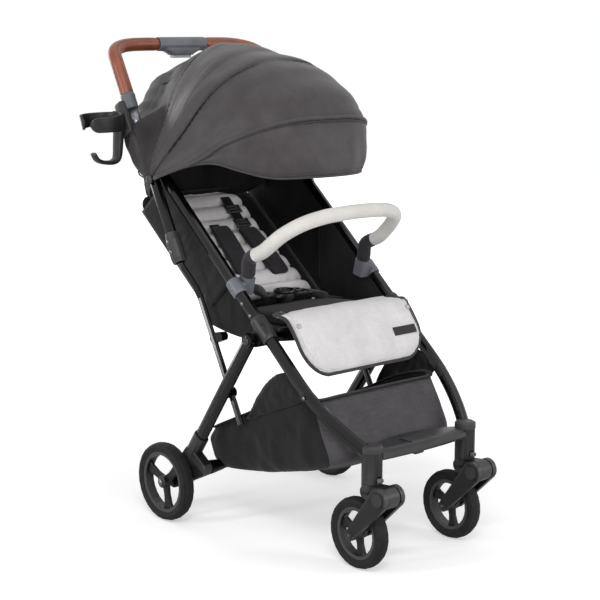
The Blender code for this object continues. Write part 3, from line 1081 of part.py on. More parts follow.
def build_basket():
    """Slung basket. Each column of its wall runs from the rim over the belly to the floor."""
    columns = [
        ((0.000, -0.3880, 0.3180), (0.000, -0.4260, 0.2620), (0.000, -0.4500, 0.2080), (0.000, -0.3900, 0.1700)),
        ((0.095, -0.3880, 0.3180), (0.092, -0.4260, 0.2620), (0.085, -0.4500, 0.2080), (0.080, -0.3850, 0.1690)),
        ((0.150, -0.3880, 0.3180), (0.146, -0.4230, 0.2620), (0.118, -0.4450, 0.2080), (0.105, -0.3720, 0.1680)),
        ((BASKET_TIE_X, -0.3580, 0.3560), (0.164, -0.3720, 0.2560), (0.136, -0.3850, 0.1850), (0.105, -0.3300, 0.1580)),
        ((0.166, -0.2800, 0.3370), (0.172, -0.2820, 0.2420), (0.150, -0.2850, 0.1580), (0.100, -0.2700, 0.1400)),
        ((0.168, -0.1950, 0.2760), (0.174, -0.1980, 0.2060), (0.152, -0.2000, 0.1400), (0.100, -0.2100, 0.1260)),
        ((0.160, -0.1150, 0.2100), (0.166, -0.1120, 0.1700), (0.146, -0.1250, 0.1300), (0.100, -0.1600, 0.1210)),
        ((0.100, -0.1150, 0.1950), (0.100, -0.1120, 0.1620), (0.090, -0.1220, 0.1300), (0.060, -0.1600, 0.1190)),
        ((0.000, -0.1150, 0.1900), (0.000, -0.1120, 0.1600), (0.000, -0.1220, 0.1300), (0.000, -0.1600, 0.1180)),
    ]
    half = [smooth_path([column[row] for column in columns], 2) for row in range(4)]
    rows = [line + [mirrored(point, RIGHT) for point in line[-2:0:-1]] for line in half]
    count = len(rows[0])
    centre = Vector((0, -0.2700, 0.1450))
    outer, inner = [], []
    for i in range(count):
        column = smooth_path([rows[0][i], rows[1][i], rows[2][i], rows[3][i]], 1)
        column.append(rows[3][i].lerp(centre, 0.55))
        outer.append(column)
        shrunk = []
        for j, point in enumerate(column):
            inward = Vector((centre.x - point.x, centre.y - point.y, 0))
            inward = inward.normalized() * CLOTH if j < 3 else Vector((0, 0, 0))
            shrunk.append(point + inward + Vector((0, 0, CLOTH * min(1.0, max(0, j - 1) / 2))))
        inner.append(shrunk)
    bm = bmesh.new()
    skins = []
    for grid, height in ((outer, 0.0), (inner, CLOTH)):
        verts = [[bm.verts.new(point) for point in column] for column in grid]
        skins.append(verts)
        middle = bm.verts.new(centre + Vector((0, 0, height - 0.004)))
        for i in range(count):
            j = (i + 1) % count
            for k in range(len(verts[0]) - 1):
                bm.faces.new((verts[i][k], verts[j][k], verts[j][k + 1], verts[i][k + 1]))
            bm.faces.new((verts[i][-1], verts[j][-1], middle))
    for i in range(count):
        j = (i + 1) % count
        bm.faces.new((skins[0][i][0], skins[0][j][0], skins[1][j][0], skins[1][i][0]))
    keep(from_bmesh(bm), "basket", "charcoal_cloth", "front_frame", 60)


# Assembly

for side in (LEFT, RIGHT):
    build_side_tube(side)
    build_caster_post(side)
    build_leg_bracket(side)
    build_bar_mount(side)
    build_rear_leg(side)
    build_brake_housing(side)
    build_wheel("rear", side, REAR_WHEEL_X, REAR_AXLE, REAR_TYRE_DIAMETER / 2, REAR_TYRE_WIDTH, REAR_RIM_RADIUS, 26)
    build_wheel("front", side, POST_X, FRONT_AXLE, FRONT_TYRE_DIAMETER / 2, FRONT_TYRE_WIDTH, FRONT_RIM_RADIUS, 26)
    build_caster_head(side)
    build_fork(side)
    build_swivel_lock(side)
    build_grip(side)
    build_elbow_cover(side)
    build_strut(side)
    build_canopy_hub(side)
    build_side_wing(side)
build_footboard()
build_cross_tube()
build_brake_pedal()
build_handle_tube()
build_handle_housing()
build_cup_holder()
build_canopy()
build_bow("front_bow", "canopy_front", (FRONT_BOW_ANGLE, VISOR_BOW_ANGLE), BOW_X, BOW_INSET, True)
build_bow("middle_bow", "canopy_middle", (MIDDLE_BOW_ANGLE,), BOW_X - BOW_STEP, BOW_INSET + 0.0020, True)
build_bow("rear_bow", "handle_frame", (REAR_BOW_ANGLE,), BOW_X - 2 * BOW_STEP, BOW_INSET + 0.0040, False)
build_seat()
build_seat_skirt()
build_backrest()
build_buckle()
build_calf_rest()
build_bumper_bar()
build_basket()

# The origin goes on the floor under the middle of the object's box
bpy.context.view_layer.update()
corners = [piece.matrix_world @ Vector(corner) for piece in bpy.data.objects if piece.type == "MESH" for corner in piece.bound_box]
low = [min(corner[axis] for corner in corners) for axis in range(3)]
high = [max(corner[axis] for corner in corners) for axis in range(3)]
stroller.location = (-(low[0] + high[0]) / 2, -(low[1] + high[1]) / 2, -low[2])
bpy.context.view_layer.update()
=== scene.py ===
# %% [markdown]
# A compact stroller, dressed in Blender
#
# The frame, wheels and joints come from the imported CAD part. This script gives them their finishes and
# builds the soft goods: canopy, quilted liner, harness, calf rest, side cloth and basket. Everything is in
# metres. The child faces -Y, +X is the child's left, and the floor is at Z = 0.

# %% Load the frame
import math

import bmesh
import bpy
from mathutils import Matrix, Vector, noise
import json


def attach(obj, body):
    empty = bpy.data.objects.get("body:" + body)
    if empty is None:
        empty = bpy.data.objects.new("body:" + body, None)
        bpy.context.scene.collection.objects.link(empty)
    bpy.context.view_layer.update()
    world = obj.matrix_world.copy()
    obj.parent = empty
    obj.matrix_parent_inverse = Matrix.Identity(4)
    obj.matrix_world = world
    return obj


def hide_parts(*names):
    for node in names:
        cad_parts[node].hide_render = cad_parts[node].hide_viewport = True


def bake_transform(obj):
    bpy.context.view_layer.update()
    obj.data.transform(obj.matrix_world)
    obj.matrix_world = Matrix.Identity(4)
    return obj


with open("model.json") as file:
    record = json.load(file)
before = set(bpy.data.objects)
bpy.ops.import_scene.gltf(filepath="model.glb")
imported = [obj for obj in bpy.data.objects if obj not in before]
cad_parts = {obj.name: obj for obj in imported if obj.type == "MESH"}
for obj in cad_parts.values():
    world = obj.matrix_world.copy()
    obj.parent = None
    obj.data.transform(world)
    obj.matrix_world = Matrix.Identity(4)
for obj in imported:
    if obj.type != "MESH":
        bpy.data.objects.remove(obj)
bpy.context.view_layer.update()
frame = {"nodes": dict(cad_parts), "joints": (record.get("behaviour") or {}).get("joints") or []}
nodes = frame["nodes"]

# %% [markdown]
# Places. The sizes below are written in the maker's own coordinates, with the rear axle at Y = 0 and the
# floor at Z = 0. The CAD part is centred over its footprint instead, so every point is moved by one fixed
# step, which is read from the hinge between the two frames.

# %% Coordinates that all pieces share
LEG_HINGE = (-0.2453, 0.4196)
hinge = next(joint for joint in frame["joints"] if joint["name"] == "frame_fold")
SHIFT = Vector((hinge["pos_m"][0], hinge["pos_m"][1] - LEG_HINGE[0], hinge["pos_m"][2] - LEG_HINGE[1]))
LEFT, RIGHT = 1, -1
SIDES = {LEFT: "left", RIGHT: "right"}
SIDE_TUBE_X, HANDLE_TUBE_X = 0.1840, 0.2085
TUBE_ANGLE, HANDLE_ANGLE = math.radians(40.97), math.radians(62.28)
HANDLE_PIVOT = (0.0636, 0.7222)


def place(x, y, z):
    return Vector((x, y, z)) + SHIFT


def below_pivot(distance, angle, x):
    """A point on a tube that passes the handle pivot, measured down from it."""
    return place(x, HANDLE_PIVOT[0] - distance * math.cos(angle), HANDLE_PIVOT[1] - distance * math.sin(angle))


def on_side_tube(distance, x=SIDE_TUBE_X):
    return below_pivot(distance, TUBE_ANGLE, x)


def on_handle_tube(distance, x=HANDLE_TUBE_X):
    return below_pivot(distance, HANDLE_ANGLE, x)


print("shift", [round(c, 5) for c in SHIFT])

# %% [markdown]
# Mesh helpers. Cloth on this object is made from grids of points, because a grid can follow a tube, a bow
# or a rim exactly and still carry folds. Each grid gets a UV map in metres, so that a weave drawn on it
# keeps its real thread spacing wherever the cloth goes.

# %% Helpers that make the meshes


def link(name, mesh):
    piece = bpy.data.objects.new(name, mesh)
    bpy.context.scene.collection.objects.link(piece)
    return piece


def paint(piece, *finishes):
    """Gives a piece its finishes, in the order of its slots."""
    for finish in finishes:
        piece.data.materials.append(finish)
    return piece


def grid_piece(name, rows, closed=False, caps=False, finish=None):
    """A skin over rows of equal length. closed joins the last point of each row to its first."""
    bm = bmesh.new()
    uv = bm.loops.layers.uv.new("metres")
    verts = [[bm.verts.new(point) for point in row] for row in rows]
    columns = len(rows[0])
    down = [0.0]
    for low, high in zip(rows, rows[1:]):
        down.append(down[-1] + (Vector(high[columns // 2]) - Vector(low[columns // 2])).length)
    across = []
    for row in rows:
        run = [0.0]
        for i in range(columns):
            run.append(run[-1] + (Vector(row[(i + 1) % columns]) - Vector(row[i])).length)
        across.append(run)
    for i in range(len(rows) - 1):
        for j in range(columns if closed else columns - 1):
            k = (j + 1) % columns
            face = bm.faces.new((verts[i][j], verts[i][k], verts[i + 1][k], verts[i + 1][j]))
            for loop, (row, column) in zip(face.loops, ((i, j), (i, j + 1), (i + 1, j + 1), (i + 1, j))):
                loop[uv].uv = (across[row][column], down[row])
            face.smooth = True
    if caps:
        for ring, flip in ((verts[0], True), (verts[-1], False)):
            bm.faces.new(list(reversed(ring)) if flip else ring).smooth = True
    bmesh.ops.recalc_face_normals(bm, faces=bm.faces)
    mesh = bpy.data.meshes.new(name)
    bm.to_mesh(mesh)
    bm.free()
    piece = link(name, mesh)
    return paint(piece, finish) if finish else piece


def rings_along(path, outline, across=Vector((1, 0, 0)), loop=False):
    """Rings square to a path. outline is a list of (side, up) pairs, or one such list for each point."""
    path = [Vector(point) for point in path]
    count = len(path)
    side = Vector(across).normalized()
    rings = []
    for i, point in enumerate(path):
        if loop:
            ahead = path[(i + 1) % count] - path[i - 1]
        else:
            ahead = path[min(i + 1, count - 1)] - path[max(i - 1, 0)]
        ahead.normalize()
        side = (side - ahead * side.dot(ahead)).normalized()
        up = ahead.cross(side)
        shape = outline[i] if isinstance(outline[0][0], (list, tuple)) else outline
        rings.append([point + side * u + up * v for u, v in shape])
    return rings


def circle(radius, sides=12):
    turns = [2 * math.pi * i / sides for i in range(sides)]
    return [(radius * math.cos(a), radius * math.sin(a)) for a in turns]


def rounded(width, height, radius, steps=4):
    points = []
    for cx, cy, start in ((1, 1, 0), (-1, 1, 90), (-1, -1, 180), (1, -1, 270)):
        for k in range(steps + 1):
            a = math.radians(start + 90 * k / steps)
            points.append((cx * (width / 2 - radius) + radius * math.cos(a),
                           cy * (height / 2 - radius) + radius * math.sin(a)))
    return points


def bar_along(name, path, outline, across=Vector((1, 0, 0)), finish=None):
    return grid_piece(name, rings_along(path, outline, across), closed=True, caps=True, finish=finish)


def smooth_line(points, steps):
    """Points on a smooth curve through the given ones."""
    points = [Vector(point) for point in points]
    ends = [points[0] * 2 - points[1]] + points + [points[-1] * 2 - points[-2]]
    line = []
    for i in range(1, len(ends) - 2):
        a, b, c, d = ends[i - 1:i + 3]
        for k in range(steps):
            t = k / steps
            line.append((b * 2 + (c - a) * t + (a * 2 - b * 5 + c * 4 - d) * t * t
                         + (b * 3 - a - c * 3 + d) * t ** 3) * 0.5)
    line.append(points[-1])
    return line


def between(low, high, share):
    return low + (high - low) * share


def spread(low, high, count):
    """count + 1 even steps from low to high."""
    return [between(low, high, k / count) for k in range(count + 1)]


def run_along(points):
    """How far along a line each of its points is."""
    run = [0.0]
    for a, b in zip(points, points[1:]):
        run.append(run[-1] + (b - a).length)
    return run


def corner_cut(left, corner):
    """How much a rounded end takes off the width where this much of the length is left."""
    if left >= corner:
        return 0.0
    return corner * (1 - math.sqrt(max(0.0, 1 - ((corner - left) / corner) ** 2)))


def ease(share):
    share = min(max(share, 0.0), 1.0)
    return share * share * (3 - 2 * share)


def merge(name, pieces):
    """Joins pieces into one object."""
    bm = bmesh.new()
    materials = []
    for piece in pieces:
        slots = [slot.material for slot in piece.material_slots]
        start = len(bm.faces)
        bm.from_mesh(piece.data)
        bm.faces.ensure_lookup_table()
        for face in bm.faces[start:]:
            made = slots[face.material_index] if slots else None
            if made not in materials:
                materials.append(made)
            face.material_index = materials.index(made)
        bpy.data.objects.remove(piece)
    mesh = bpy.data.meshes.new(name)
    bm.to_mesh(mesh)
    bm.free()
    for made in materials:
        mesh.materials.append(made)
    return link(name, mesh)


def thicken(piece, thickness, offset=-1.0):
    """Gives a sheet its cloth thickness, on the inside unless offset says otherwise."""
    wall = piece.modifiers.new("cloth thickness", "SOLIDIFY")
    wall.thickness = thickness
    wall.offset = offset
    wall.use_rim = True
    return piece


# %% [markdown]
# Materials. One function adds a node with its settings and links, and every finish is built from it.
# Colours are sRGB hex values, as read from a colour chart, turned to the linear values that the shader
# needs.

# %% Colour and node helpers


def linear(hexcode):
    channels = [int(hexcode[i:i + 2], 16) / 255 for i in (1, 3, 5)]
    return (*[c / 12.92 if c <= 0.04045 else ((c + 0.055) / 1.055) ** 2.4 for c in channels], 1.0)


def add_node(tree, kind, settings=None, **inputs):
    """Adds a node. settings are its properties."""
    made = tree.nodes.new(kind)
    for key, value in (settings or {}).items():
        setattr(made, key, value)
    return feed(tree, made, **inputs)


def feed(tree, made, **inputs):
    """Sets a node's inputs, which are values, or (node, output) pairs to link from."""
    for key, value in inputs.items():
        by_number = key[0] == "i" and key[1:].isdigit()
        socket = made.inputs[int(key[1:]) if by_number else key.replace("_", " ")]
        if isinstance(value, tuple) and len(value) == 2 and hasattr(value[0], "outputs"):
            tree.links.new(value[0].outputs[value[1]], socket)
        else:
            socket.default_value = value
    return made


def new_material(name, roughness, **sockets):
    """A material, its tree, its shader and the texture coordinates that its patterns read."""
    made = bpy.data.materials.new(name)
    made.use_nodes = True
    shader = made.node_tree.nodes["Principled BSDF"]
    shader.inputs["Roughness"].default_value = roughness
    feed(made.node_tree, shader, **sockets)
    return made, made.node_tree, shader, add_node(made.node_tree, "ShaderNodeTexCoord")


def colour_ramp(tree, source, stops):
    """Turns a value into colours. stops are (position, colour) pairs."""
    ramp = add_node(tree, "ShaderNodeValToRGB")
    elements = ramp.color_ramp.elements
    while len(elements) < len(stops):
        elements.new(0.5)
    for element, (position, colour) in zip(elements, stops):
        element.position = position
        element.color = linear(colour)
    return feed(tree, ramp, Fac=source)


# %% [markdown]
# Hard finishes. The tubes are powder coated aluminium: the baked powder flows into a satin skin with a
# very fine orange peel, so the gloss is broken up by a low bump a few millimetres wide. The mouldings are
# glass filled nylon from a spark eroded mould, which leaves an even fine grain and a duller sheen.

# %% Powder coat and moulded plastic


def powder_coat(name, dark, light, roughness):
    """Satin powder coat on aluminium. Orange peel is 3 mm wide, drawn a little coarser than life."""
    made, tree, shader, where = new_material(name, roughness, IOR=1.5, Specular_IOR_Level=0.34,
                                             Coat_Weight=0.06, Coat_Roughness=0.06)
    peel = add_node(tree, "ShaderNodeTexNoise", Vector=(where, "Object"), Scale=330.0, Detail=2.0)
    cloud = add_node(tree, "ShaderNodeTexNoise", Vector=(where, "Object"), Scale=14.0, Detail=3.0)
    ramp = colour_ramp(tree, (cloud, "Fac"), ((0.35, dark), (0.70, light)))
    gloss = add_node(tree, "ShaderNodeMapRange", Value=(cloud, "Fac"), To_Min=roughness - 0.05,
                     To_Max=roughness + 0.07)
    bump = add_node(tree, "ShaderNodeBump", Height=(peel, "Fac"), Strength=0.08, Distance=0.0004)
    feed(tree, shader, Base_Color=(ramp, "Color"), Roughness=(gloss, "Result"), Normal=(bump, "Normal"))
    return made


def moulded_nylon(name, dark, light, roughness):
    """Glass filled nylon with a spark eroded grain of about 0.8 mm, drawn at 1.2 mm so that it shows."""
    made, tree, shader, where = new_material(name, roughness, IOR=1.53, Specular_IOR_Level=0.28)
    grain = add_node(tree, "ShaderNodeTexNoise", Vector=(where, "Object"), Scale=820.0, Detail=3.0,
                     Roughness=0.7)
    flow = add_node(tree, "ShaderNodeTexNoise", Vector=(where, "Object"), Scale=22.0, Detail=4.0)
    ramp = colour_ramp(tree, (flow, "Fac"), ((0.30, dark), (0.75, light)))
    # Sharp outer edges are made a little lighter.
    shape_info = add_node(tree, "ShaderNodeNewGeometry")
    edge_lightening = colour_ramp(tree, (shape_info, "Pointiness"), ((0.52, "#000000"), (0.60, "#ffffff")))
    edge = add_node(tree, "ShaderNodeMix", {"data_type": "RGBA", "blend_type": "SCREEN"}, i0=0.045,
                    i6=(ramp, "Color"), i7=(edge_lightening, "Color"))
    gloss = add_node(tree, "ShaderNodeMapRange", Value=(grain, "Fac"), To_Min=roughness - 0.08,
                     To_Max=roughness + 0.10)
    bump = add_node(tree, "ShaderNodeBump", Height=(grain, "Fac"), Strength=0.16, Distance=0.0004)
    feed(tree, shader, Base_Color=(edge, 2), Roughness=(gloss, "Result"), Normal=(bump, "Normal"))
    return made


black_tube = powder_coat("satin black powder coated aluminium", "#050506", "#0a0a0b", 0.15)
black_nylon = moulded_nylon("black glass filled nylon, fine spark grain", "#0f0f10", "#19191b", 0.42)
rim_nylon = moulded_nylon("dark nylon wheel rim, fine spark grain", "#0e0e0f", "#171718", 0.40)
grey_nylon = moulded_nylon("dark grey nylon, fine spark grain", "#404146", "#4d4f54", 0.42)
housing_nylon = moulded_nylon("mid grey nylon handle housing", "#5b5e64", "#6c6f75", 0.42)
footboard_nylon = moulded_nylon("soft touch black footboard", "#1c1c1e", "#29292b", 0.34)
clamp_nylon = moulded_nylon("mid grey nylon clamp", "#55585f", "#686b72", 0.40)
silver_paint = powder_coat("satin silver lacquer on moulded plastic", "#a9acb1", "#bcbfc4", 0.28)
print("hard finishes made")

# %% [markdown]
# Foam tyres. The tyres are EVA foam with a moulded skin: nearly black, dull, with dust worn into the
# tread. Noise at two scales gives the foam's fine cells and the paler scuffs.

# %% Foam, rubber and steel


def foam(name, dark, light):
    """Moulded EVA foam: dull skin over 0.6 mm cells, drawn at 1 mm."""
    made, tree, shader, where = new_material(name, 0.72, IOR=1.45, Specular_IOR_Level=0.25)
    cells = add_node(tree, "ShaderNodeTexVoronoi", Vector=(where, "Object"), Scale=950.0)
    scuff = add_node(tree, "ShaderNodeTexNoise", Vector=(where, "Object"), Scale=46.0, Detail=6.0,
                     Roughness=0.65)
    ramp = colour_ramp(tree, (scuff, "Fac"), ((0.38, dark), (0.72, light)))
    gloss = add_node(tree, "ShaderNodeMapRange", Value=(scuff, "Fac"), To_Min=0.62, To_Max=0.84)
    bump = add_node(tree, "ShaderNodeBump", Height=(cells, "Distance"), Strength=0.14, Distance=0.0005)
    feed(tree, shader, Base_Color=(ramp, "Color"), Roughness=(gloss, "Result"), Normal=(bump, "Normal"))
    return made


def steel(name):
    """Bare metal: zinc plated screws and the drawn inner tube of the handle."""
    made, tree, shader, where = new_material(name, 0.32, Metallic=1.0)
    brushed = add_node(tree, "ShaderNodeTexNoise", Vector=(where, "Object"), Scale=600.0, Detail=3.0)
    ramp = colour_ramp(tree, (brushed, "Fac"), ((0.3, "#5c5e62"), (0.7, "#8a8c90")))
    feed(tree, shader, Base_Color=(ramp, "Color"))
    return made


collar_nylon = moulded_nylon("mid grey nylon collar", "#54575c", "#62656a", 0.42)
brushed_tube = steel("bright drawn aluminium tube")
tyre_foam = foam("moulded EVA foam tyre", "#1b1a1a", "#292728")
zinc = steel("zinc plated steel screw")
print("tyre and screw finishes made")

# %% [markdown]
# Leatherette. The grips are wrapped in PU coated cloth with an embossed hide grain. A Voronoi pattern
# gives the small pebbles, and a slow noise makes the tone wander as it does on a rolled sheet.

# %% Leatherette


def leatherette(name, dark, light):
    """PU leatherette: 1.6 mm pebbles under a thin semi gloss coat."""
    made, tree, shader, where = new_material(name, 0.42, IOR=1.5, Coat_Weight=0.15, Coat_Roughness=0.30)
    pebbles = add_node(tree, "ShaderNodeTexVoronoi", {"feature": "SMOOTH_F1"}, Vector=(where, "Object"),
                       Scale=600.0)
    tone = add_node(tree, "ShaderNodeTexNoise", Vector=(where, "Object"), Scale=38.0, Detail=5.0)
    ramp = colour_ramp(tree, (tone, "Fac"), ((0.30, dark), (0.70, light)))
    # The valleys between the pebbles are painted darker, as shade in the grain.
    crease_shade = colour_ramp(tree, (pebbles, "Distance"), ((0.0, "#ffffff"), (0.75, "#b8a8a0")))
    mix = add_node(tree, "ShaderNodeMix", {"data_type": "RGBA", "blend_type": "MULTIPLY"}, i0=0.6,
                   i6=(ramp, "Color"), i7=(crease_shade, "Color"))
    bump = add_node(tree, "ShaderNodeBump", {"invert": True}, Height=(pebbles, "Distance"), Strength=0.35,
                    Distance=0.0005)
    feed(tree, shader, Base_Color=(mix, 2), Normal=(bump, "Normal"))
    return made


brown_leatherette = leatherette("brown embossed PU leatherette", "#7c3c22", "#96502f")
print("leatherette made")

# %% [markdown]
# Cloth. Three cloths cover the stroller: a charcoal polyester canopy cloth, a darker black polyester for
# the seat shell, and a pale melange knit. Each is drawn as two crossing sets of threads, which are noise
# stretched one way and the other on coordinates in metres. Real threads are about 0.4 mm apart, too fine to
# show, so they are drawn at 2.6 mm, or finer on small pieces. The melange cloth also has light and dark
# fibres, from noise stretched along the threads.

# %% Cloth finishes


def cloth(name, dark, light, pitch=0.0026, coordinates="UV", roughness=0.85, sheen=0.10, fleck=0.0, crease=0.0,
          depth=0.45):
    """Woven polyester. depth is the weave's strength, fleck the fibres' and crease the soft wrinkles'."""
    made, tree, shader, where = new_material(name, roughness, IOR=1.45, Specular_IOR_Level=0.22,
                                             Sheen_Weight=sheen, Sheen_Roughness=0.5)
    fine, long = 1.0 / pitch, 0.07 / pitch
    sets = []
    for size in ((fine, long, long), (long, fine if coordinates == "UV" else long, fine)):
        run = add_node(tree, "ShaderNodeMapping", Vector=(where, coordinates), Scale=size)
        sets.append(add_node(tree, "ShaderNodeTexNoise", Vector=(run, "Vector"), Scale=1.0, Detail=2.0,
                             Roughness=0.5))
    weave = add_node(tree, "ShaderNodeMath", {"operation": "MAXIMUM"}, i0=(sets[0], "Fac"), i1=(sets[1], "Fac"))
    tone = add_node(tree, "ShaderNodeTexNoise", Vector=(where, "Object"), Scale=26.0, Detail=6.0, Roughness=0.6)
    ramp = colour_ramp(tree, (tone, "Fac"), ((0.30, dark), (0.72, light)))
    shade = colour_ramp(tree, (weave, "Value"), ((0.42, "#bdbdbd"), (0.66, "#ffffff")))
    mix = add_node(tree, "ShaderNodeMix", {"data_type": "RGBA", "blend_type": "MULTIPLY"}, i0=depth,
                   i6=(ramp, "Color"), i7=(shade, "Color"))
    last = (mix, 2)
    if fleck:
        stretch = add_node(tree, "ShaderNodeMapping", Vector=(where, "Object"), Scale=(160.0, 620.0, 620.0))
        fibres = add_node(tree, "ShaderNodeTexNoise", Vector=(stretch, "Vector"), Scale=1.0, Detail=3.0,
                          Roughness=0.8)
        spots = colour_ramp(tree, (fibres, "Fac"), ((0.34, "#9b9a9c"), (0.60, "#ffffff")))
        flecked = add_node(tree, "ShaderNodeMix", {"data_type": "RGBA", "blend_type": "MULTIPLY"}, i0=fleck,
                           i6=last, i7=(spots, "Color"))
        last = (flecked, 2)
    bump = add_node(tree, "ShaderNodeBump", Height=(weave, "Value"), Strength=0.10, Distance=0.0005)
    if crease:
        folds = add_node(tree, "ShaderNodeTexNoise", Vector=(where, "Object"), Scale=34.0, Detail=4.0,
                         Roughness=0.55, Distortion=0.8)
        broad = add_node(tree, "ShaderNodeBump", Height=(folds, "Fac"), Strength=crease, Distance=0.004)
        feed(tree, bump, Normal=(broad, "Normal"))
    feed(tree, shader, Base_Color=last, Normal=(bump, "Normal"))
    return made


canopy_cloth = cloth("charcoal polyester canopy cloth, plain weave", "#3f3b3c", "#4a4647", roughness=0.50,
                     sheen=0.12, crease=0.22, depth=0.25)
# The rear panel is the canopy cloth made darker: painted shade, as the rear panel faces away from the light.
shaded_rear_cloth = cloth("charcoal polyester rear panel cloth, plain weave", "#2c292a", "#363334", roughness=0.55,
                   sheen=0.10, crease=0.22, depth=0.25)
visor_cloth = cloth("charcoal polyester visor cloth, plain weave", "#403c3e", "#4b4748", roughness=0.50,
                    sheen=0.12, crease=0.22, depth=0.25)
seat_cloth = cloth("black polyester seat cloth, plain weave", "#141314", "#1d1b1d", roughness=0.80, crease=0.30)
basket_cloth = cloth("black polyester basket cloth, plain weave", "#111012", "#1b191b", roughness=0.78,
                     crease=0.45)
basket_front_cloth = cloth("grey polyester basket front, plain weave", "#464347", "#524f53", roughness=0.78,
                           crease=0.16)
melange = cloth("pale grey melange knit", "#d2cfd0", "#e1dedf", coordinates="Object", roughness=0.9, sheen=0.25,
                fleck=0.14, depth=0.12)
# The bumper bar's knit is the same melange made a little darker: painted shade, as the bar is strongly lit.
melange_bar_shaded = cloth("pale grey melange knit on the bumper bar", "#cfccc8", "#dedbd7", coordinates="Object",
                    roughness=0.9, sheen=0.25, fleck=0.12, depth=0.10)
pad_cloth = cloth("charcoal padded harness cloth", "#252226", "#322f34", coordinates="Object", roughness=0.82,
                  sheen=0.2)
webbing = cloth("black polyester webbing, ribbed weave", "#101011", "#1a1a1c", roughness=0.55)
piping_cloth = cloth("charcoal bound piping", "#333134", "#423f43", pitch=0.0018, coordinates="Object",
                     roughness=0.75, sheen=0.2)
label_cloth = cloth("dark woven label, left bare", "#2b292c", "#38363a", pitch=0.0014, coordinates="Object",
                    roughness=0.7)
thread = cloth("bonded nylon sewing thread", "#2e2c2f", "#3d3a3e", pitch=0.0014, coordinates="Object",
               roughness=0.55)
pale_thread = cloth("pale polyester sewing thread", "#b9b7b8", "#c9c7c8", pitch=0.0014, coordinates="Object",
                    roughness=0.6)
print("cloth finishes made")

# %% [markdown]
# The CAD nodes keep their shape and get these finishes. The dictionary below says which finish goes on
# which nodes. A left and a right piece share one name with an ending.

# %% Finishes on the CAD nodes
FINISH = {
    black_tube: ["side_tube", "rear_leg", "strut", "cross_tube", "handle_tube", "front_bow", "middle_bow",
                 "rear_bow"],
    black_nylon: ["caster_post", "leg_bracket", "brake_housing", "caster_head", "caster_fork", "elbow_cover",
                  "canopy_hub", "seat_board", "buckle", "buckle_button", "calf_board", "cup_holder"],
    rim_nylon: ["rear_rim", "front_rim"],
    footboard_nylon: ["footboard"],
    grey_nylon: ["brake_pedal", "swivel_lock"],
    clamp_nylon: ["bar_mount"],
    housing_nylon: ["handle_housing"],
    silver_paint: ["fold_button"],
    brown_leatherette: ["handle_grip"],
    tyre_foam: ["rear_tyre", "front_tyre"],
}
for finish, names in FINISH.items():
    for name in names:
        for node in (name, name + "_left", name + "_right"):
            if node in nodes:
                nodes[node].data.materials.clear()
                nodes[node].data.materials.append(finish)
print("finishes given to", sum(len(names) for names in FINISH.values()), "names")

# %% [markdown]
# Canopy. The real one is a single shell of sewn panels, stretched over three bows that turn on one pin at
# each side. It is made here as one continuous grid: every row is an arch at one angle round the pin, and
# the reach of the arches follows the measured outline. Between bows the cloth dips, at the seams it pulls
# in, and behind the last bow it hangs in soft upright folds.

# %% The canopy's shape
CANOPY_PIN = (0.08686, 0.76646)
CANOPY_HALF_WIDTH = 0.1962
# How far each arch reaches from the pin, by its angle
CANOPY_REACH = [(-48.0, 0.196), (-20.0, 0.208), (10.0, 0.226), (35.7, 0.2505), (57.0, 0.218), (78.0, 0.2155),
                (97.0, 0.2245), (122.0, 0.2434), (136.5, 0.2744), (146.0, 0.2990), (158.7, 0.3318),
                (170.7, 0.3474), (185.7, 0.3600)]
FRONT_HEM, VISOR_HEM, REAR_HEM = 170.7, 185.7, -48.0
REAR_SEAM, MIDDLE_SEAM, CURTAIN_TOP = 84.0, 136.5, 14.0
SEAM_ANGLES = (REAR_SEAM, MIDDLE_SEAM, FRONT_HEM)
# The first and last turn of every arch, so that the side hems don't fall on one point
EDGE_TURN = 0.6
# Where each arch ends on the left: its angle, then across, along and up. In front of the handle tube the cloth
# runs down outside the tube to one sewn corner, and behind it the rear panel hangs inside the tube.
CANOPY_ENDS = [(-48.0, 0.182, 0.098, 0.700), (10.0, 0.178, 0.092, 0.780), (34.0, 0.200, 0.096, 0.745),
               (50.0, 0.2225, 0.080, 0.720), (60.0, 0.2245, 0.052, 0.712), (186.0, 0.2245, 0.046, 0.714)]
# How round each arch is. Below 1 it is boxy, and above 1 its shoulders slope.
CANOPY_ROUND = [(-48.0, 1.25), (10.0, 1.25), (35.0, 1.38), (57.0, 1.50), (84.0, 1.25), (110.0, 1.05),
                (136.5, 0.80), (158.0, 0.70), (170.7, 0.62), (186.0, 0.98)]


def look_up(table, angle):
    """The row of a table at an angle, between its two nearest rows."""
    if angle <= table[0][0]:
        return table[0][1:]
    for low, high in zip(table, table[1:]):
        if angle <= high[0]:
            share = (angle - low[0]) / (high[0] - low[0])
            return tuple(between(p, q, share) for p, q in zip(low[1:], high[1:]))
    return table[-1][1:]


def reach_at(angle):
    """The reach of the arch at an angle, with the corners of the table softened."""
    if angle <= CANOPY_REACH[0][0]:
        return CANOPY_REACH[0][1]
    for (a, low), (b, high) in zip(CANOPY_REACH, CANOPY_REACH[1:]):
        if angle <= b:
            share = (angle - a) / (b - a)
            return between(low, high, share * share * (3 - 2 * share) * 0.4 + share * 0.6)
    return CANOPY_REACH[-1][1]


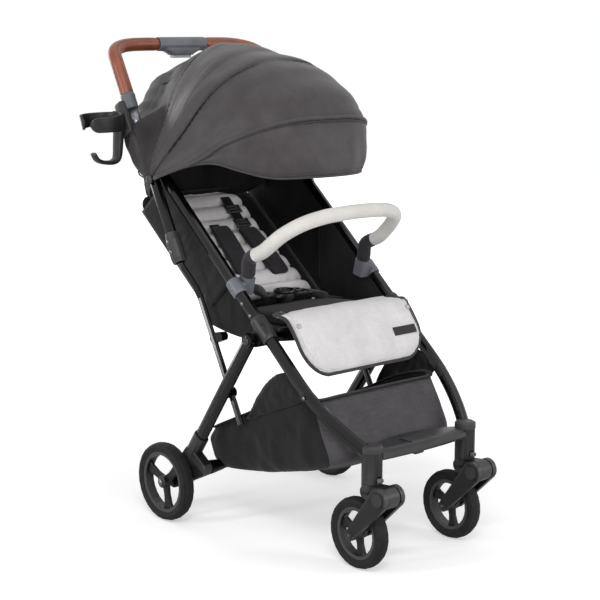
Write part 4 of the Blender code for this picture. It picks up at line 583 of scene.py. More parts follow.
def canopy_point(angle, turn, out=0.0):
    """A point at an angle round the pin. turn runs from 0 on the left to 180 on the right."""
    c, s = math.cos(math.radians(turn)), abs(math.sin(math.radians(turn)))
    roundness = look_up(CANOPY_ROUND, angle)[0]
    up = s ** (0.72 + 0.45 * ease((roundness - 0.8) / 0.5))
    if angle > FRONT_HEM:
        angle = FRONT_HEM + (angle - FRONT_HEM) * ease((up - 0.22) / 0.66)
    if angle > 150:
        angle -= 3.5 * ease((angle - 150) / 20) * ease((up - 0.3) / 0.35) * (1 - ease((angle - FRONT_HEM) / 10))
    end_x, end_y, end_z = look_up(CANOPY_ENDS, angle)
    a = math.radians(angle)
    reach = reach_at(angle) + out
    top_y, top_z = CANOPY_PIN[0] + reach * math.cos(a), CANOPY_PIN[1] + reach * math.sin(a)
    base = min(end_x, CANOPY_HALF_WIDTH)
    arch = (base + out) * abs(c) ** roundness
    x = arch + (end_x - base) * (1 - ease(up / 0.50))
    beside_tube = ease((angle - 38) / 8) * (1 - ease((angle - 66) / 14))
    x = between(x, between(0.2290 + out, arch, ease((up - 0.40) / 0.20)), beside_tube)
    return place(math.copysign(x, c), between(end_y, top_y, up), between(end_z, top_z, up))


def canopy_relief(angle, turn):
    """How far the cloth stands out from its mean line: seams pull in, panels gather near their ends."""
    out = 0.0
    for seam in SEAM_ANGLES:
        gap = abs(angle - seam)
        out -= 0.0011 * math.exp(-(gap / 1.1) ** 2)
        gather = math.exp(-(gap / 5.0) ** 2)
        out += 0.0011 * gather * math.sin(turn * 1.9 + seam) * (0.35 + 0.65 * abs(math.cos(math.radians(turn))))
    if angle < 80:
        depth = ease((80 - angle) / 30)
        out += depth * 0.0030 * math.sin(math.radians(turn) * 13 + 0.7 * math.sin(math.radians(angle) * 2.4))
        out += depth * 0.0014 * math.sin(math.radians(turn) * 29 + 1.3)
    if angle > FRONT_HEM:
        wave = math.sin(math.radians(turn) * 17 + math.radians(angle) * 9)
        out += 0.0016 * ease((angle - FRONT_HEM) / 6) * wave
    out += 0.0030 * noise.noise(Vector((turn * 0.045, angle * 0.055, 0.0)))
    pulled = abs(noise.noise(Vector((turn * 0.030, angle * 0.21, 5.0))))
    out += 0.0022 * (0.35 - pulled) * ease(abs(math.cos(math.radians(turn))) * 1.3)
    side = abs(math.cos(math.radians(turn)))
    out += 0.0018 * ease((side - 0.55) / 0.3) * math.sin(math.radians(angle) * 9 + 2.0 * side)
    return out


angles = spread(REAR_HEM, VISOR_HEM, 170)
turns = spread(EDGE_TURN, 180 - EDGE_TURN, 130)
rows = []
for angle in angles:
    edge = min(angle - angles[0], angles[-1] - angle)
    rows.append([canopy_point(angle, turn, canopy_relief(angle, turn) * ease(edge / 2.0)) for turn in turns])
# Slots 0, 1, 2 and 4 are the outside of the panels, and the inside is a set number of slots further on. Slot 4
# is the canopy cloth painted darker, as shade on the rear panel. The inside, apart from the curtain's, and the
# outside below the curtain top are the black seat cloth, which paints the shade inside the hood.
INSIDE_SHADE_SLOTS = 2
canopy_cover = paint(grid_piece("canopy_cover", rows), canopy_cloth, visor_cloth, seat_cloth, seat_cloth,
                     shaded_rear_cloth, seat_cloth, seat_cloth)
columns = len(turns) - 1
for index, face in enumerate(canopy_cover.data.polygons):
    angle = angles[index // columns]
    if angle > FRONT_HEM:
        face.material_index = 1
    # Below the curtain top the outside is painted black too, as shade inside the hood.
    elif angle < CURTAIN_TOP:
        face.material_index = 2
    # From the curtain top up to the rear seam the cloth is the darker copy, painted shade on the rear panel.
    elif angle < REAR_SEAM:
        face.material_index = 4

# %% Canopy hems and seams


trims = []
for name, angle, radius, lift, finish in (
        ("front hem", FRONT_HEM - 0.4, 0.0040, 0.0012, canopy_cloth),
        # The thin dark cord just below the front hem paints the shadow in the groove there.
        ("painted shadow under the front hem", FRONT_HEM + 0.7, 0.0016, 0.0004, piping_cloth),
        ("visor hem", VISOR_HEM, 0.0021, 0.0, visor_cloth), ("seam", MIDDLE_SEAM, 0.0010, 0.0002, piping_cloth),
        ("seam", REAR_SEAM, 0.0011, 0.0002, piping_cloth), ("rear hem", REAR_HEM, 0.0016, 0.0, piping_cloth)):
    path = [canopy_point(angle, turn, lift) for turn in spread(EDGE_TURN, 180 - EDGE_TURN, 120)]
    trims.append(bar_along(name, path, circle(radius, 8), finish=finish))
for turn in (EDGE_TURN, 180 - EDGE_TURN):
    path = [canopy_point(angle, turn, 0.0002) for angle in spread(REAR_HEM, 60.0, 60)]
    trims.append(bar_along("side hem", path, circle(0.0015, 8), finish=canopy_cloth))
for side in (LEFT, RIGHT):
    corner = place(side * 0.2262, 0.052, 0.713)
    path = [corner + Vector((side * out, 0, 0)) for out in (0.0, 0.0010, 0.0036)]
    trims.append(bar_along("corner tab", path, [circle(r, 20) for r in (0.0105, 0.0110, 0.0090)],
                           Vector((0, 1, 0)), black_nylon))
    # Each vent is a black patch laid on the cloth, which paints the shadow under the vent's open flap.
    low, high = (116.0, 123.5) if side == RIGHT else (56.5, 64.0)
    vent_shadow = [[canopy_point(angle, turn, 0.0017) for turn in spread(low, high, 8)]
            for angle in spread(50.0, 72.0, 14)]
    trims.append(grid_piece("vent_shadow", vent_shadow, finish=webbing))
canopy_trim = merge("canopy_trim", trims)
# The inside faces move onto the inside slots, mostly the black cloth that paints the shade in the hood.
thicken(canopy_cover, 0.0010).modifiers[0].material_offset = INSIDE_SHADE_SLOTS
for piece in (canopy_cover, canopy_trim):
    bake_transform(piece)
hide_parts("canopy")
for name, angle in (("rear_bow", REAR_SEAM), ("middle_bow", MIDDLE_SEAM), ("front_bow", FRONT_HEM - 0.5)):
    path = [canopy_point(angle, turn, -0.0040) for turn in spread(8.0, 172.0, 80)]
    bow = bar_along(name + "_rod", path, circle(0.0028, 8), finish=black_tube)
    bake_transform(bow)
    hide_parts(name)
print("canopy dressed")

# %% [markdown]
# Padded pieces. The liner, the seat cushion, the calf pad and the harness pads are foam between two
# sewn cloths. A cloth simulation with inner pressure swells a slightly smaller closed shape, so that its
# sides draw in and its corners round off by themselves. How far a point may move is capped. The sewn
# channels are pressed in afterwards, because the voxel remesh would wipe them out.

# %% The swelling step


SWELL_VOXEL, SWELL_PRESSURE, SWELL_STIFFNESS, SWELL_FRAMES = 0.005, 4.0, 40, 20


def swell(piece, cap):
    """Remeshes a closed piece and swells it with the cloth solver. No point moves further than cap."""
    remesh = piece.modifiers.new("remesh", "REMESH")
    remesh.mode = "VOXEL"
    remesh.voxel_size = SWELL_VOXEL
    bake(piece)
    start = [vertex.co.copy() for vertex in piece.data.vertices]
    solver = piece.modifiers.new("cloth", "CLOTH")
    solver.settings.use_pressure = True
    solver.settings.uniform_pressure_force = SWELL_PRESSURE
    solver.settings.effector_weights.gravity = 0.0
    solver.settings.tension_stiffness = SWELL_STIFFNESS
    solver.point_cache.frame_start = 1
    solver.point_cache.frame_end = SWELL_FRAMES
    scene = bpy.context.scene
    for number in range(1, SWELL_FRAMES + 1):
        scene.frame_set(number)
    bake(piece)
    for vertex, old in zip(piece.data.vertices, start):
        move = vertex.co - old
        if move.length > cap:
            vertex.co = old + move.normalized() * cap
    scene.frame_set(1)
    return piece


def bake(piece):
    """Turns a piece with modifiers into a plain mesh."""
    bpy.context.view_layer.update()
    mesh = bpy.data.meshes.new_from_object(piece.evaluated_get(bpy.context.evaluated_depsgraph_get()))
    old = piece.data
    piece.modifiers.clear()
    piece.data = mesh
    bpy.data.meshes.remove(old)


def refine(piece, levels=1):
    finer = piece.modifiers.new("subdivision", "SUBSURF")
    finer.levels = finer.render_levels = levels
    bake(piece)
    piece.data.shade_smooth()


# %% [markdown]
# Back liner. It lies on the reclining back, so its points are set in the back's own directions: across,
# up from the crease and out of the face.

# %% The back's own coordinates
SEAT_CREASE = (-0.0850, 0.4550)
SEAT_CREST = (-0.2800, 0.4700)
BACK_ANGLE = math.radians(39.8)
BACK_LENGTH, BACK_HALF_WIDTH, BACK_THICKNESS, BACK_FOOT = 0.3240, 0.1350, 0.0240, 0.012
CHANNEL_PITCH = 0.0385
BACK_UP = Vector((0, math.cos(BACK_ANGLE), math.sin(BACK_ANGLE)))
BACK_OUT = Vector((0, -math.sin(BACK_ANGLE), math.cos(BACK_ANGLE)))


def on_back(u, v, w):
    """Across, up the back, and out of the liner's front face."""
    return place(u, *SEAT_CREASE) + BACK_UP * (v + BACK_FOOT) + BACK_OUT * (w - BACK_THICKNESS)


def in_back(point):
    """The (across, up, out) place of a world point on the back."""
    offset = point - place(0, *SEAT_CREASE)
    return offset.x, offset.dot(BACK_UP) - BACK_FOOT, offset.dot(BACK_OUT) + BACK_THICKNESS


def pad_body(name, at, length, half_width, thickness, corner, steps=30, columns=16):
    """A closed pad with rounded far corners, a little smaller than its space."""
    rings = []
    for v in spread(0.002, length - 0.002, steps):
        width = half_width - 0.003 - corner_cut(length - v, corner)
        ends = min(1.0, 0.45 + min(v, length - v) / (thickness * 1.6))
        spots = spread(-1, 1, columns)
        ring = [at(width * u, v, thickness * (0.30 + 0.52 * ends * (1 - abs(u) ** 6))) for u in spots]
        ring += [at(width * u, v, thickness * 0.04) for u in reversed(spots)]
        rings.append(ring)
    return grid_piece(name, rings, closed=True, caps=True)


# %% The quilted back liner
back_liner = pad_body("back_liner", on_back, BACK_LENGTH, BACK_HALF_WIDTH, BACK_THICKNESS, 0.060)
swell(back_liner, 0.006)
refine(back_liner)
for vertex in back_liner.data.vertices:
    u, v, w = in_back(vertex.co)
    u *= 1 - 0.175 * ease(v / 0.22)
    front = ease((w - 0.006) / 0.008)
    line = abs(((v / CHANNEL_PITCH) + 0.5) % 1.0 - 0.5) * CHANNEL_PITCH
    press = 0.0062 * math.exp(-(line / 0.0024) ** 2) + 0.0078 * math.exp(-(line / 0.0090) ** 2) - 0.0040
    pucker = 0.0012 * math.exp(-(line / 0.009) ** 2) * math.sin(u * 240 + v * 90)
    u *= 1 - 0.075 * math.exp(-(line / 0.0075) ** 2)
    w -= front * (press - pucker)
    vertex.co = on_back(u, v, max(w, 0.0004))
paint(back_liner, melange)
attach(back_liner, "backrest")
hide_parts("backrest_pad")
print("back liner", len(back_liner.data.polygons), "faces")

# %% [markdown]
# Seat cushion. It is the black padded base of the seat, with the crotch strap coming up through it.

# %% The seat cushion
SEAT_THICKNESS = 0.0200
SEAT_RUN = math.hypot(SEAT_CREST[0] - SEAT_CREASE[0], SEAT_CREST[1] - SEAT_CREASE[1]) - 0.0140


def on_seat(u, v, w):
    base = place(u, SEAT_CREASE[0] - 0.0100, SEAT_CREASE[1] - 0.0060)
    run = Vector((0, SEAT_CREST[0] - SEAT_CREASE[0], SEAT_CREST[1] - SEAT_CREASE[1])).normalized()
    out = Vector((0, run.z, -run.y))
    return base + run * v + out * (w - SEAT_THICKNESS)


seat_base = pad_body("seat_base", on_seat, SEAT_RUN, 0.1440, SEAT_THICKNESS, 0.014, 18, 16)
swell(seat_base, 0.005)
refine(seat_base)
paint(seat_base, seat_cloth)
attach(seat_base, "front_frame")
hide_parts("seat_cushion")
print("seat base", len(seat_base.data.polygons), "faces")

# %% [markdown]
# Calf rest. A flat padded flap that hangs over the front edge of the seat. Its pale face ends in a dark
# bound edge, and a small bare woven label is sewn near one corner.

# %% The calf rest's own coordinates
CALF_HALF_WIDTH, CALF_CORNER, CALF_THICKNESS, CALF_LENGTH = 0.1640, 0.0700, 0.0150, 0.1580
CALF_POINTS = ((-0.2790, 0.4735), (-0.3050, 0.4620), (-0.3330, 0.4290), (-0.3530, 0.3950), (-0.3680, 0.3560))
CALF_LINE = smooth_line([place(0, y, z) for y, z in CALF_POINTS], 12)
CALF_RUN = run_along(CALF_LINE)


def on_calf(u, share, w):
    goal = min(max(share, 0.0), 1.0) * CALF_RUN[-1]
    i = max(k for k in range(len(CALF_RUN) - 1) if CALF_RUN[k] <= goal + 1e-9)
    point = CALF_LINE[i].lerp(CALF_LINE[i + 1], (goal - CALF_RUN[i]) / (CALF_RUN[i + 1] - CALF_RUN[i]))
    ahead = (CALF_LINE[min(i + 2, len(CALF_LINE) - 1)] - CALF_LINE[max(i - 1, 0)]).normalized()
    return point + Vector((u, 0, 0)) + Vector((0, ahead.z, -ahead.y)) * w


def calf_width(share):
    v = share * CALF_LENGTH
    return CALF_HALF_WIDTH + 0.015 * (1 - ease(v / 0.030)) - corner_cut(CALF_LENGTH - v, CALF_CORNER)


def corner_drop(u, share):
    """The corners at the seat are cut back, the left one more, so the top edge is a shallow arch."""
    amount = 0.14 if u > 0 else 0.03
    return share + amount * ease((abs(u) - 0.50) / 0.50) * (1 - share)


# %% The calf pad
rings = []
for share in spread(0.004, 0.996, 32):
    thin = CALF_THICKNESS * (0.35 + 0.50 * min(1.0, 5 * share, 8 * (1 - share)))
    width = calf_width(share) + 0.002
    spots = spread(-1, 1, 24)
    ring = [on_calf(width * u, corner_drop(u, share), (1 - abs(u) ** 8) * thin * 0.62 + 0.001) for u in spots]
    ring += [on_calf(width * u, corner_drop(u, share), -thin * 0.24) for u in reversed(spots)]
    rings.append(ring)
calf_cover = grid_piece("calf_cover", rings, closed=True, caps=True)
swell(calf_cover, 0.003)
refine(calf_cover)
paint(calf_cover, melange)
edge_path = [on_calf(calf_width(0.15) * u, corner_drop(u, 0.004), 0.0020) for u in (0.88, 0.92, 0.96)]
edge_path += [on_calf(calf_width(s), s, 0.0005) for s in spread(0.15, 0.986, 60)]
edge_path += [on_calf(-calf_width(s), s, 0.0005) for s in spread(0.986, 0.03, 60)]
edge_path += [on_calf(-calf_width(0.03) * u, corner_drop(-u, 0.004), 0.0020) for u in (0.97, 0.93, 0.89)]
calf_piping = bar_along("calf_piping", edge_path, circle(0.0036, 10), finish=piping_cloth)
LABEL_HEIGHT = CALF_THICKNESS * 0.85 * 0.62 + 0.0048
label_rows = [[on_calf(u, share, LABEL_HEIGHT) for u in spread(0.080, 0.143, 20)]
              for share in spread(0.570, 0.680, 8)]
label = grid_piece("label", label_rows, finish=label_cloth)
thicken(label, 0.0012, 0.0)
bake(label)
snaps = []
for hand in (LEFT, RIGHT):
    spot = on_calf(hand * 0.1500, 0.32, 0.0090)
    path = [spot, spot + Vector((0, -0.0010, 0.0006)), spot + Vector((0, -0.0026, 0.0016))]
    snaps.append(bar_along("snap", path, [circle(r, 16) for r in (0.0052, 0.0052, 0.0034)],
                           finish=silver_paint))
calf_piping = merge("calf_piping", [calf_piping, label] + snaps)
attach(calf_cover, "calf_rest")
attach(calf_piping, "calf_rest")
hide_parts("calf_pad")
print("calf pad", len(calf_cover.data.polygons), "faces")

# %% [markdown]
# Side cloths. The seat hangs in a black sling, with a wing of cloth at each side between the frame tube
# and the edge of the back. Both are taut along the tube and slack in the middle, so their folds run down
# from the tube.

# %% The seat sling
SKIRT_HALF_WIDTH, SKIRT_FRONT, SKIRT_BACK, SKIRT_FLOOR = 0.1605, -0.2900, -0.0440, 0.4180


def fold(u, v, amount, seed=0.0):
    """Slack cloth: long folds along v, broken up a little."""
    broad = noise.noise(Vector((u * 30, v * 7, seed)))
    return amount * (broad + 0.45 * noise.noise(Vector((u * 74, v * 18, seed + 5))))


rows = []
for k in range(41):
    y = between(SKIRT_FRONT, SKIRT_BACK, k / 40)
    tube_z = HANDLE_PIVOT[1] + (y - HANDLE_PIVOT[0]) * math.tan(TUBE_ANGLE)
    low = SKIRT_FLOOR - 0.015 * math.sin(math.pi * k / 40)
    top = max(tube_z - 0.0030, low + 0.003)
    half = []
    for j in range(17):
        share = j / 16
        z = between(top, low + 0.010, share)
        reach = 0.0110 * (1 - ease((tube_z - 0.0030 - z) / 0.030))
        slack = fold(y, z, 0.0022, 1.0) * math.sin(math.pi * share)
        half.append((SKIRT_HALF_WIDTH - 0.0006 + reach + slack, z))
    for j in range(1, 9):
        a = math.radians(90 * j / 8)
        half.append((SKIRT_HALF_WIDTH - 0.012 * (1 - math.cos(a)), low + 0.010 - 0.010 * math.sin(a)))
    half += [(SKIRT_HALF_WIDTH * (1 - j / 8) * 0.92, low - 0.002 + fold(j * 0.02, y, 0.002, 3.0))
             for j in range(1, 9)]
    rows.append([place(x, y, z) for x, z in half] + [place(-x, y, z) for x, z in reversed(half[:-1])])
seat_sling = grid_piece("seat_sling", rows, finish=seat_cloth)
thicken(seat_sling, 0.0012)
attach(seat_sling, "front_frame")
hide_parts("seat_skirt")

# %% Side wings
for side in (LEFT, RIGHT):
    rows = []
    for k in range(41):
        share = k / 40
        top = on_side_tube(between(0.004, 0.290, share), 0.1714)
        low = on_back(0.1577, between(0.352 if side == LEFT else 0.300, 0.004, share), -0.0080)
        row = []
        for j in range(17):
            point = top.lerp(low, j / 16) - SHIFT
            slack = fold(share * 0.5, j * 0.01, 0.0035, side * 4.0) * math.sin(math.pi * j / 16)
            row.append(place((point.x - abs(slack)) * side, point.y, point.z))
        rows.append(row)
    wing = grid_piece("side_wing_cloth_" + SIDES[side], rows, finish=seat_cloth)
    thicken(wing, 0.0012, 0.0)
    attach(wing, "front_frame")
    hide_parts("side_wing_" + SIDES[side])
crease_rows = [[place(x, y, z + 0.0008 * math.sin(x * 90)) for x in spread(-0.157, 0.157, 24)]
               for y, z in ((-0.1300, 0.4445), (-0.1000, 0.4440), (-0.0800, 0.4425), (-0.0640, 0.4390),
                            (-0.0540, 0.4320), (-0.0450, 0.4225))]
crease_cloth = grid_piece("crease_cloth", crease_rows, finish=seat_cloth)
thicken(crease_cloth, 0.0010)
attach(crease_cloth, "front_frame")
print("side wings dressed")

# %% [markdown]
# Back panel. The cloth shell behind the liner, with a rounded top. It is stiffened by a board, so it bows
# back a little instead of hanging in folds.

# %% The back panel
rings = []
panel_length = BACK_LENGTH + 0.018
for k in range(41):
    v = panel_length * k / 40
    width = 0.1566 - corner_cut(panel_length - v, 0.050)
    spots = spread(-1, 1, 20)
    ring = [on_back(width * u, v, -0.0004) for u in spots]
    for u in reversed(spots):
        bulge = (0.0080 + 0.0085 * (1 - u * u)) * ease((1 - abs(u)) / 0.08 + 0.25)
        ring.append(on_back(width * u, v, -0.0004 - bulge + fold(u * 0.15, v, 0.0015, 9.0)))
    rings.append(ring)
back_shell = grid_piece("back_shell", rings, closed=True, caps=True, finish=seat_cloth)
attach(back_shell, "backrest")
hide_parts("backrest_board")
print("back shell made")

# %% [markdown]
# Harness. Webbing has to stay flat and sharp edged, so it is built directly along its path. The left
# shoulder strap runs down from the liner through two slide adjusters into a padded sleeve. The right one
# comes out of the liner lower down and goes straight into its sleeve.

# %% Straps, adjusters and shoulder pads


def strap(name, path, width, thickness=0.0016, across=Vector((1, 0, 0))):
    return bar_along(name, path, rounded(width, thickness, thickness * 0.45, 2), across, webbing)


def slider(name, centre, across, along, width, height, depth=0.0050):
    """A slide adjuster: a rounded frame with a middle bar that the webbing goes round."""
    out = across.cross(along).normalized()
    bars = []
    for shift, size in ((-height / 2, 0.0052), (0.0, 0.0042), (height / 2, 0.0052)):
        ends = [centre + along * shift - across * width / 2, centre + along * shift + across * width / 2]
        bars.append(bar_along(name, ends, rounded(size, depth, size * 0.35, 3), along))
    for hand in (-1, 1):
        ends = [centre + across * hand * width / 2 - along * (height / 2 + 0.002),
                centre + across * hand * width / 2 + along * (height / 2 + 0.002)]
        bars.append(bar_along(name, ends, rounded(0.0042, depth, 0.0015, 3), across))
    made = merge(name, bars)
    made.data.materials.clear()
    return paint(made, black_nylon)


SURFACE = BACK_THICKNESS + 0.0032
up = (on_back(0, 0.1, 0) - on_back(0, 0, 0)).normalized()
for side in (LEFT, RIGHT):
    line = [(0.306, 0.043, -0.007), (0.285, 0.043, 0.0016), (0.262, 0.042, 0.0026), (0.240, 0.042, 0.0026),
            (0.215, 0.041, 0.0026), (0.190, 0.041, 0.0034)]
    if side == RIGHT:
        line = [(0.216, 0.036, -0.008), (0.208, 0.036, 0.0016), (0.196, 0.038, 0.0034), (0.186, 0.040, 0.0034)]
    belt = strap("shoulder_webbing", smooth_line([on_back(side * u, v, SURFACE + w) for v, u, w in line], 6),
                 0.0250)
    sliders = [slider("slide", on_back(side * u, v, SURFACE + 0.0040), Vector((1, 0, 0)), up, 0.0350, 0.0170)
               for u, v in ((0.0425, 0.246), (0.0415, 0.204)) if side == LEFT]
    webs = merge("shoulder_webbing_" + SIDES[side], [belt] + sliders)
    places = [(0.188, 0.040, 0.0215, 0.0070), (0.180, 0.0405, 0.0245, 0.0100), (0.150, 0.042, 0.0255, 0.0120),
              (0.105, 0.046, 0.0255, 0.0120), (0.058, 0.051, 0.0240, 0.0110), (0.048, 0.051, 0.0215, 0.0070)]
    if side == RIGHT:
        places = [(v + 0.012, u - 0.010, half, thick) for v, u, half, thick in places]
    rings = []
    for v, u, half, thick in places:
        outline = rounded(2 * half, thick, thick * 0.40, 4)
        rings.append([on_back(side * u + x, v, SURFACE + thick / 2 + 0.0008 + z) for x, z in outline])
    shoulder_pad = grid_piece("shoulder_pad_" + SIDES[side], rings, closed=True, caps=True, finish=pad_cloth)
    refine(shoulder_pad, 2)
    for piece in (webs, shoulder_pad):
        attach(piece, "backrest")
    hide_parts("shoulder_strap_" + SIDES[side])
print("shoulder straps made")

# %% Waist straps and the straps from the pads to the buckle
BUCKLE = (0, -0.1130, 0.4700)
HIP_SIZES = [(0.0, 0.016, 0.009), (0.25, 0.023, 0.014), (0.5, 0.026, 0.017), (0.75, 0.025, 0.015),
             (1.0, 0.018, 0.008)]
waist = []
HIP_LINES = {
    LEFT: [(0.054, -0.1130, 0.4680), (0.064, -0.1160, 0.4640), (0.082, -0.1160, 0.4580),
           (0.102, -0.1130, 0.4545), (0.1200, -0.1060, 0.4520)],
    RIGHT: [(0.054, -0.1140, 0.4740), (0.070, -0.1180, 0.4790), (0.098, -0.1340, 0.4920),
            (0.126, -0.1500, 0.5030), (0.1500, -0.1640, 0.5090)]}
for side in (LEFT, RIGHT):
    path = smooth_line([place(side * x, y, z - 0.0050) for x, y, z in HIP_LINES[side]], 8)
    waist.append(strap("waist", path, 0.0250, across=Vector((0, 1, 0.1))))
    centre = place(side * 0.058, *HIP_LINES[side][0][1:]) + Vector((0, 0, 0.0015))
    waist.append(slider("waist_slide", centre, Vector((0, 1, 0)), Vector((1, 0, 0)), 0.0340, 0.0160))
    middle = smooth_line([Vector(p) for p in HIP_LINES[side]], 6)[5:-3]
    pad = [(p.x, p.y, p.z) + look_up(HIP_SIZES, i / (len(middle) - 1)) for i, p in enumerate(middle)]
    rings = [[place(side * x, y + a, z + b + 0.003) for a, b in rounded(2 * half, thick, thick * 0.4, 4)]
             for x, y, z, half, thick in pad]
    hip = grid_piece("hip", rings, closed=True, caps=True, finish=pad_cloth)
    refine(hip, 1)
    waist.append(hip)
waist_straps = merge("waist_straps", waist)
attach(waist_straps, "front_frame")
print("waist straps made")

# %% [markdown]
# Bumper bar. A steel hoop in a foam sleeve, covered with the pale knit. Each end has a charcoal cover
# that drops into the mount on the frame.

# %% The bumper bar's cover
BAR_LEAN = math.radians(14.0)
lean = Vector((0, -math.sin(BAR_LEAN), math.cos(BAR_LEAN)))
foot = Vector((0.1600, -0.1830, 0.5340))
half = [foot + lean * 0.0010, foot + lean * 0.0100, foot + lean * 0.0380] + [Vector(p) for p in (
    (0.1600, -0.2320, 0.5900), (0.1510, -0.2760, 0.6240), (0.1260, -0.3080, 0.6475), (0.0850, -0.3260, 0.6600),
    (0.0400, -0.3320, 0.6640), (0.0, -0.3330, 0.6650))]
full = half + [Vector((-p.x, p.y, p.z)) for p in reversed(half[:-1])]
line = smooth_line([p + SHIFT for p in full], 8)
run = run_along(line)
# The charcoal end covers reach this far, and from_end is how far each ring is from the nearer end
END_COVER, BAR_RADIUS, BAR_SIDES = 0.062, 0.0145, 28
from_end = [min(distance, run[-1] - distance) for distance in run]
outlines = []
for near in from_end:
    radius = BAR_RADIUS - 0.0016 * math.exp(-(near / 0.004) ** 2)
    radius -= 0.0012 * math.exp(-((near - END_COVER) / 0.0022) ** 2)
    outlines.append(circle(radius, BAR_SIDES))
bumper_cover = paint(bar_along("bumper_cover", line, outlines), melange_bar_shaded, pad_cloth)
for index, face in enumerate(bumper_cover.data.polygons):
    i = index // BAR_SIDES
    if i < len(run) and from_end[i] < END_COVER:
        face.material_index = 1
plugs = []
for side in (LEFT, RIGHT):
    base = Vector((foot.x * side, foot.y, foot.z)) + SHIFT
    plugs.append(bar_along("plug", [base - lean * 0.0255, base + lean * 0.0020], circle(0.0084, 20),
                           finish=black_nylon))
bumper_plugs = merge("bumper_plugs", plugs)
for piece in (bumper_cover, bumper_plugs):
    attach(piece, "bumper")
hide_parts("bumper_bar")
print("bumper bar", round(run[-1], 4), "m long")

# %% [markdown]
# Basket. A bag slung under the seat: its rim is tied to the frame at the front and the sides, and the
# cloth bellies out and sags between the ties. It is a loft of rings, from the rim down over the belly to
# the floor, with folds that run down from the ties.

# %% The basket bag
COLUMNS = [
    ((0.000, -0.3880, 0.3180), (0.000, -0.4260, 0.2620), (0.000, -0.4500, 0.2080), (0.000, -0.3900, 0.1700)),
    ((0.095, -0.3880, 0.3180), (0.092, -0.4260, 0.2620), (0.085, -0.4500, 0.2080), (0.080, -0.3850, 0.1690)),
    ((0.150, -0.3880, 0.3180), (0.152, -0.4230, 0.2620), (0.146, -0.4420, 0.2080), (0.115, -0.3720, 0.1680)),
    ((0.1700, -0.3580, 0.3200), (0.169, -0.3720, 0.2560), (0.156, -0.3850, 0.1850), (0.115, -0.3300, 0.1580)),
    ((0.169, -0.2800, 0.2980), (0.174, -0.2820, 0.2300), (0.154, -0.2850, 0.1580), (0.100, -0.2700, 0.1400)),
    ((0.170, -0.1950, 0.2580), (0.175, -0.1980, 0.2000), (0.154, -0.2000, 0.1380), (0.100, -0.2100, 0.1250)),
    ((0.168, -0.0880, 0.2080), (0.174, -0.0800, 0.1760), (0.162, -0.0960, 0.1260), (0.115, -0.1300, 0.1160)),
    ((0.110, -0.0720, 0.2000), (0.110, -0.0660, 0.1680), (0.100, -0.0860, 0.1260), (0.070, -0.1300, 0.1160)),
    ((0.000, -0.0720, 0.1960), (0.000, -0.0660, 0.1650), (0.000, -0.0860, 0.1260), (0.000, -0.1300, 0.1150)),
]
half = [smooth_line([Vector(column[row]) for column in COLUMNS], 10) for row in range(4)]
around = [row + [Vector((-p.x, p.y, p.z)) for p in row[-2:0:-1]] for row in half]
count = len(around[0])
basket_centre = Vector((0, -0.2700, 0.1450))
BELLY_ROWS, FLOOR_ROWS, FRONT_ROWS, FRONT_COLUMNS = 21, 7, 18, 25
rows = [[] for k in range(BELLY_ROWS + FLOOR_ROWS + 1)]
for i in range(count):
    column = smooth_line([around[row][i] for row in range(4)], 7)
    floor = [column[-1].lerp(basket_centre, 0.55 * k / 4) for k in range(1, 5)]
    floor += [column[-1].lerp(basket_centre, 0.55 + 0.44 * k / 3) for k in range(1, 4)]
    for k, point in enumerate(column + floor):
        outward = Vector((point.x - basket_centre.x, point.y - basket_centre.y, 0))
        outward = outward.normalized() if outward.length > 0.001 else Vector((0, 0, 0))
        belly = math.sin(math.pi * min(k / BELLY_ROWS, 1.0))
        slack = noise.noise(Vector((point.x * 34, point.y * 34, point.z * 9)))
        slack += 0.5 * noise.noise(Vector((point.x * 80, point.y * 80, point.z * 30 + 7)))
        front = ease((-point.y - 0.36) / 0.03)
        moved = point + outward * slack * belly * between(0.0075, 0.0012, front)
        if k > BELLY_ROWS:
            moved.z += 0.0016 * noise.noise(Vector((point.x * 60, point.y * 60, 2.0)))
        rows[k].append(place(*moved))
basket_bag = grid_piece("basket_bag", rows, closed=True)
bm = bmesh.new()
bm.from_mesh(basket_bag.data)
boundary = [edge for edge in bm.edges
            if edge.is_boundary and (edge.verts[0].co - place(*basket_centre)).length < 0.02]
if boundary:
    bmesh.ops.contextual_create(bm, geom=boundary)
bmesh.ops.recalc_face_normals(bm, faces=bm.faces)
bm.to_mesh(basket_bag.data)
bm.free()
basket_bag.data.shade_smooth()
paint(basket_bag, basket_cloth, basket_front_cloth)
for index, face in enumerate(basket_bag.data.polygons):
    column = index % count
    if index < FRONT_ROWS * count and min(column, count - 1 - column) < FRONT_COLUMNS:
        face.material_index = 1
hem_path = list(rows[0])
hem_rings = rings_along(hem_path, rounded(0.0030, 0.0130, 0.0012, 2), Vector((0, 0, 1)), loop=True)
thicken(basket_bag, 0.0012)
basket_hem = grid_piece("basket_hem", hem_rings + [hem_rings[0]], closed=True, finish=basket_cloth)
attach(basket_bag, "front_frame")
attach(basket_hem, "front_frame")
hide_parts("basket")

# %% Folded side flaps of the basket
for side in (LEFT, RIGHT):
    rows = []
    for k in range(33):
        s = k / 32
        y = between(-0.375, -0.205, s)
        low_z = between(0.318, 0.248, s)
        high_z = low_z + 0.006 + 0.066 * math.sin(math.pi * min(1.0, s * 1.04)) ** 0.55
        row = []
        for j in range(13):
            share = j / 12
            crumple = noise.noise(Vector((y * 60, share * 3, 4.0 * side)))
            crumple += 0.5 * noise.noise(Vector((y * 150, share * 7, 9.0)))
            x = 0.1725 + 0.0085 * math.sin(math.pi * share)
            x += 0.0040 * crumple * math.sin(math.pi * min(1.0, share + 0.15))
            row.append(place(x * side, y + 0.004 * crumple, between(low_z, high_z, share)))
        rows.append(row)
    flap = grid_piece("basket_flap_" + SIDES[side], rows, finish=basket_cloth)
    thicken(flap, 0.0024, 0.0)
    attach(flap, "front_frame")
print("basket flaps made")

# %% [markdown]
# Handle. The grips are one smooth bend of leatherette from the collar up to the housing. Under each collar
# a short stretch of the bright inner tube shows, where the handle telescopes.

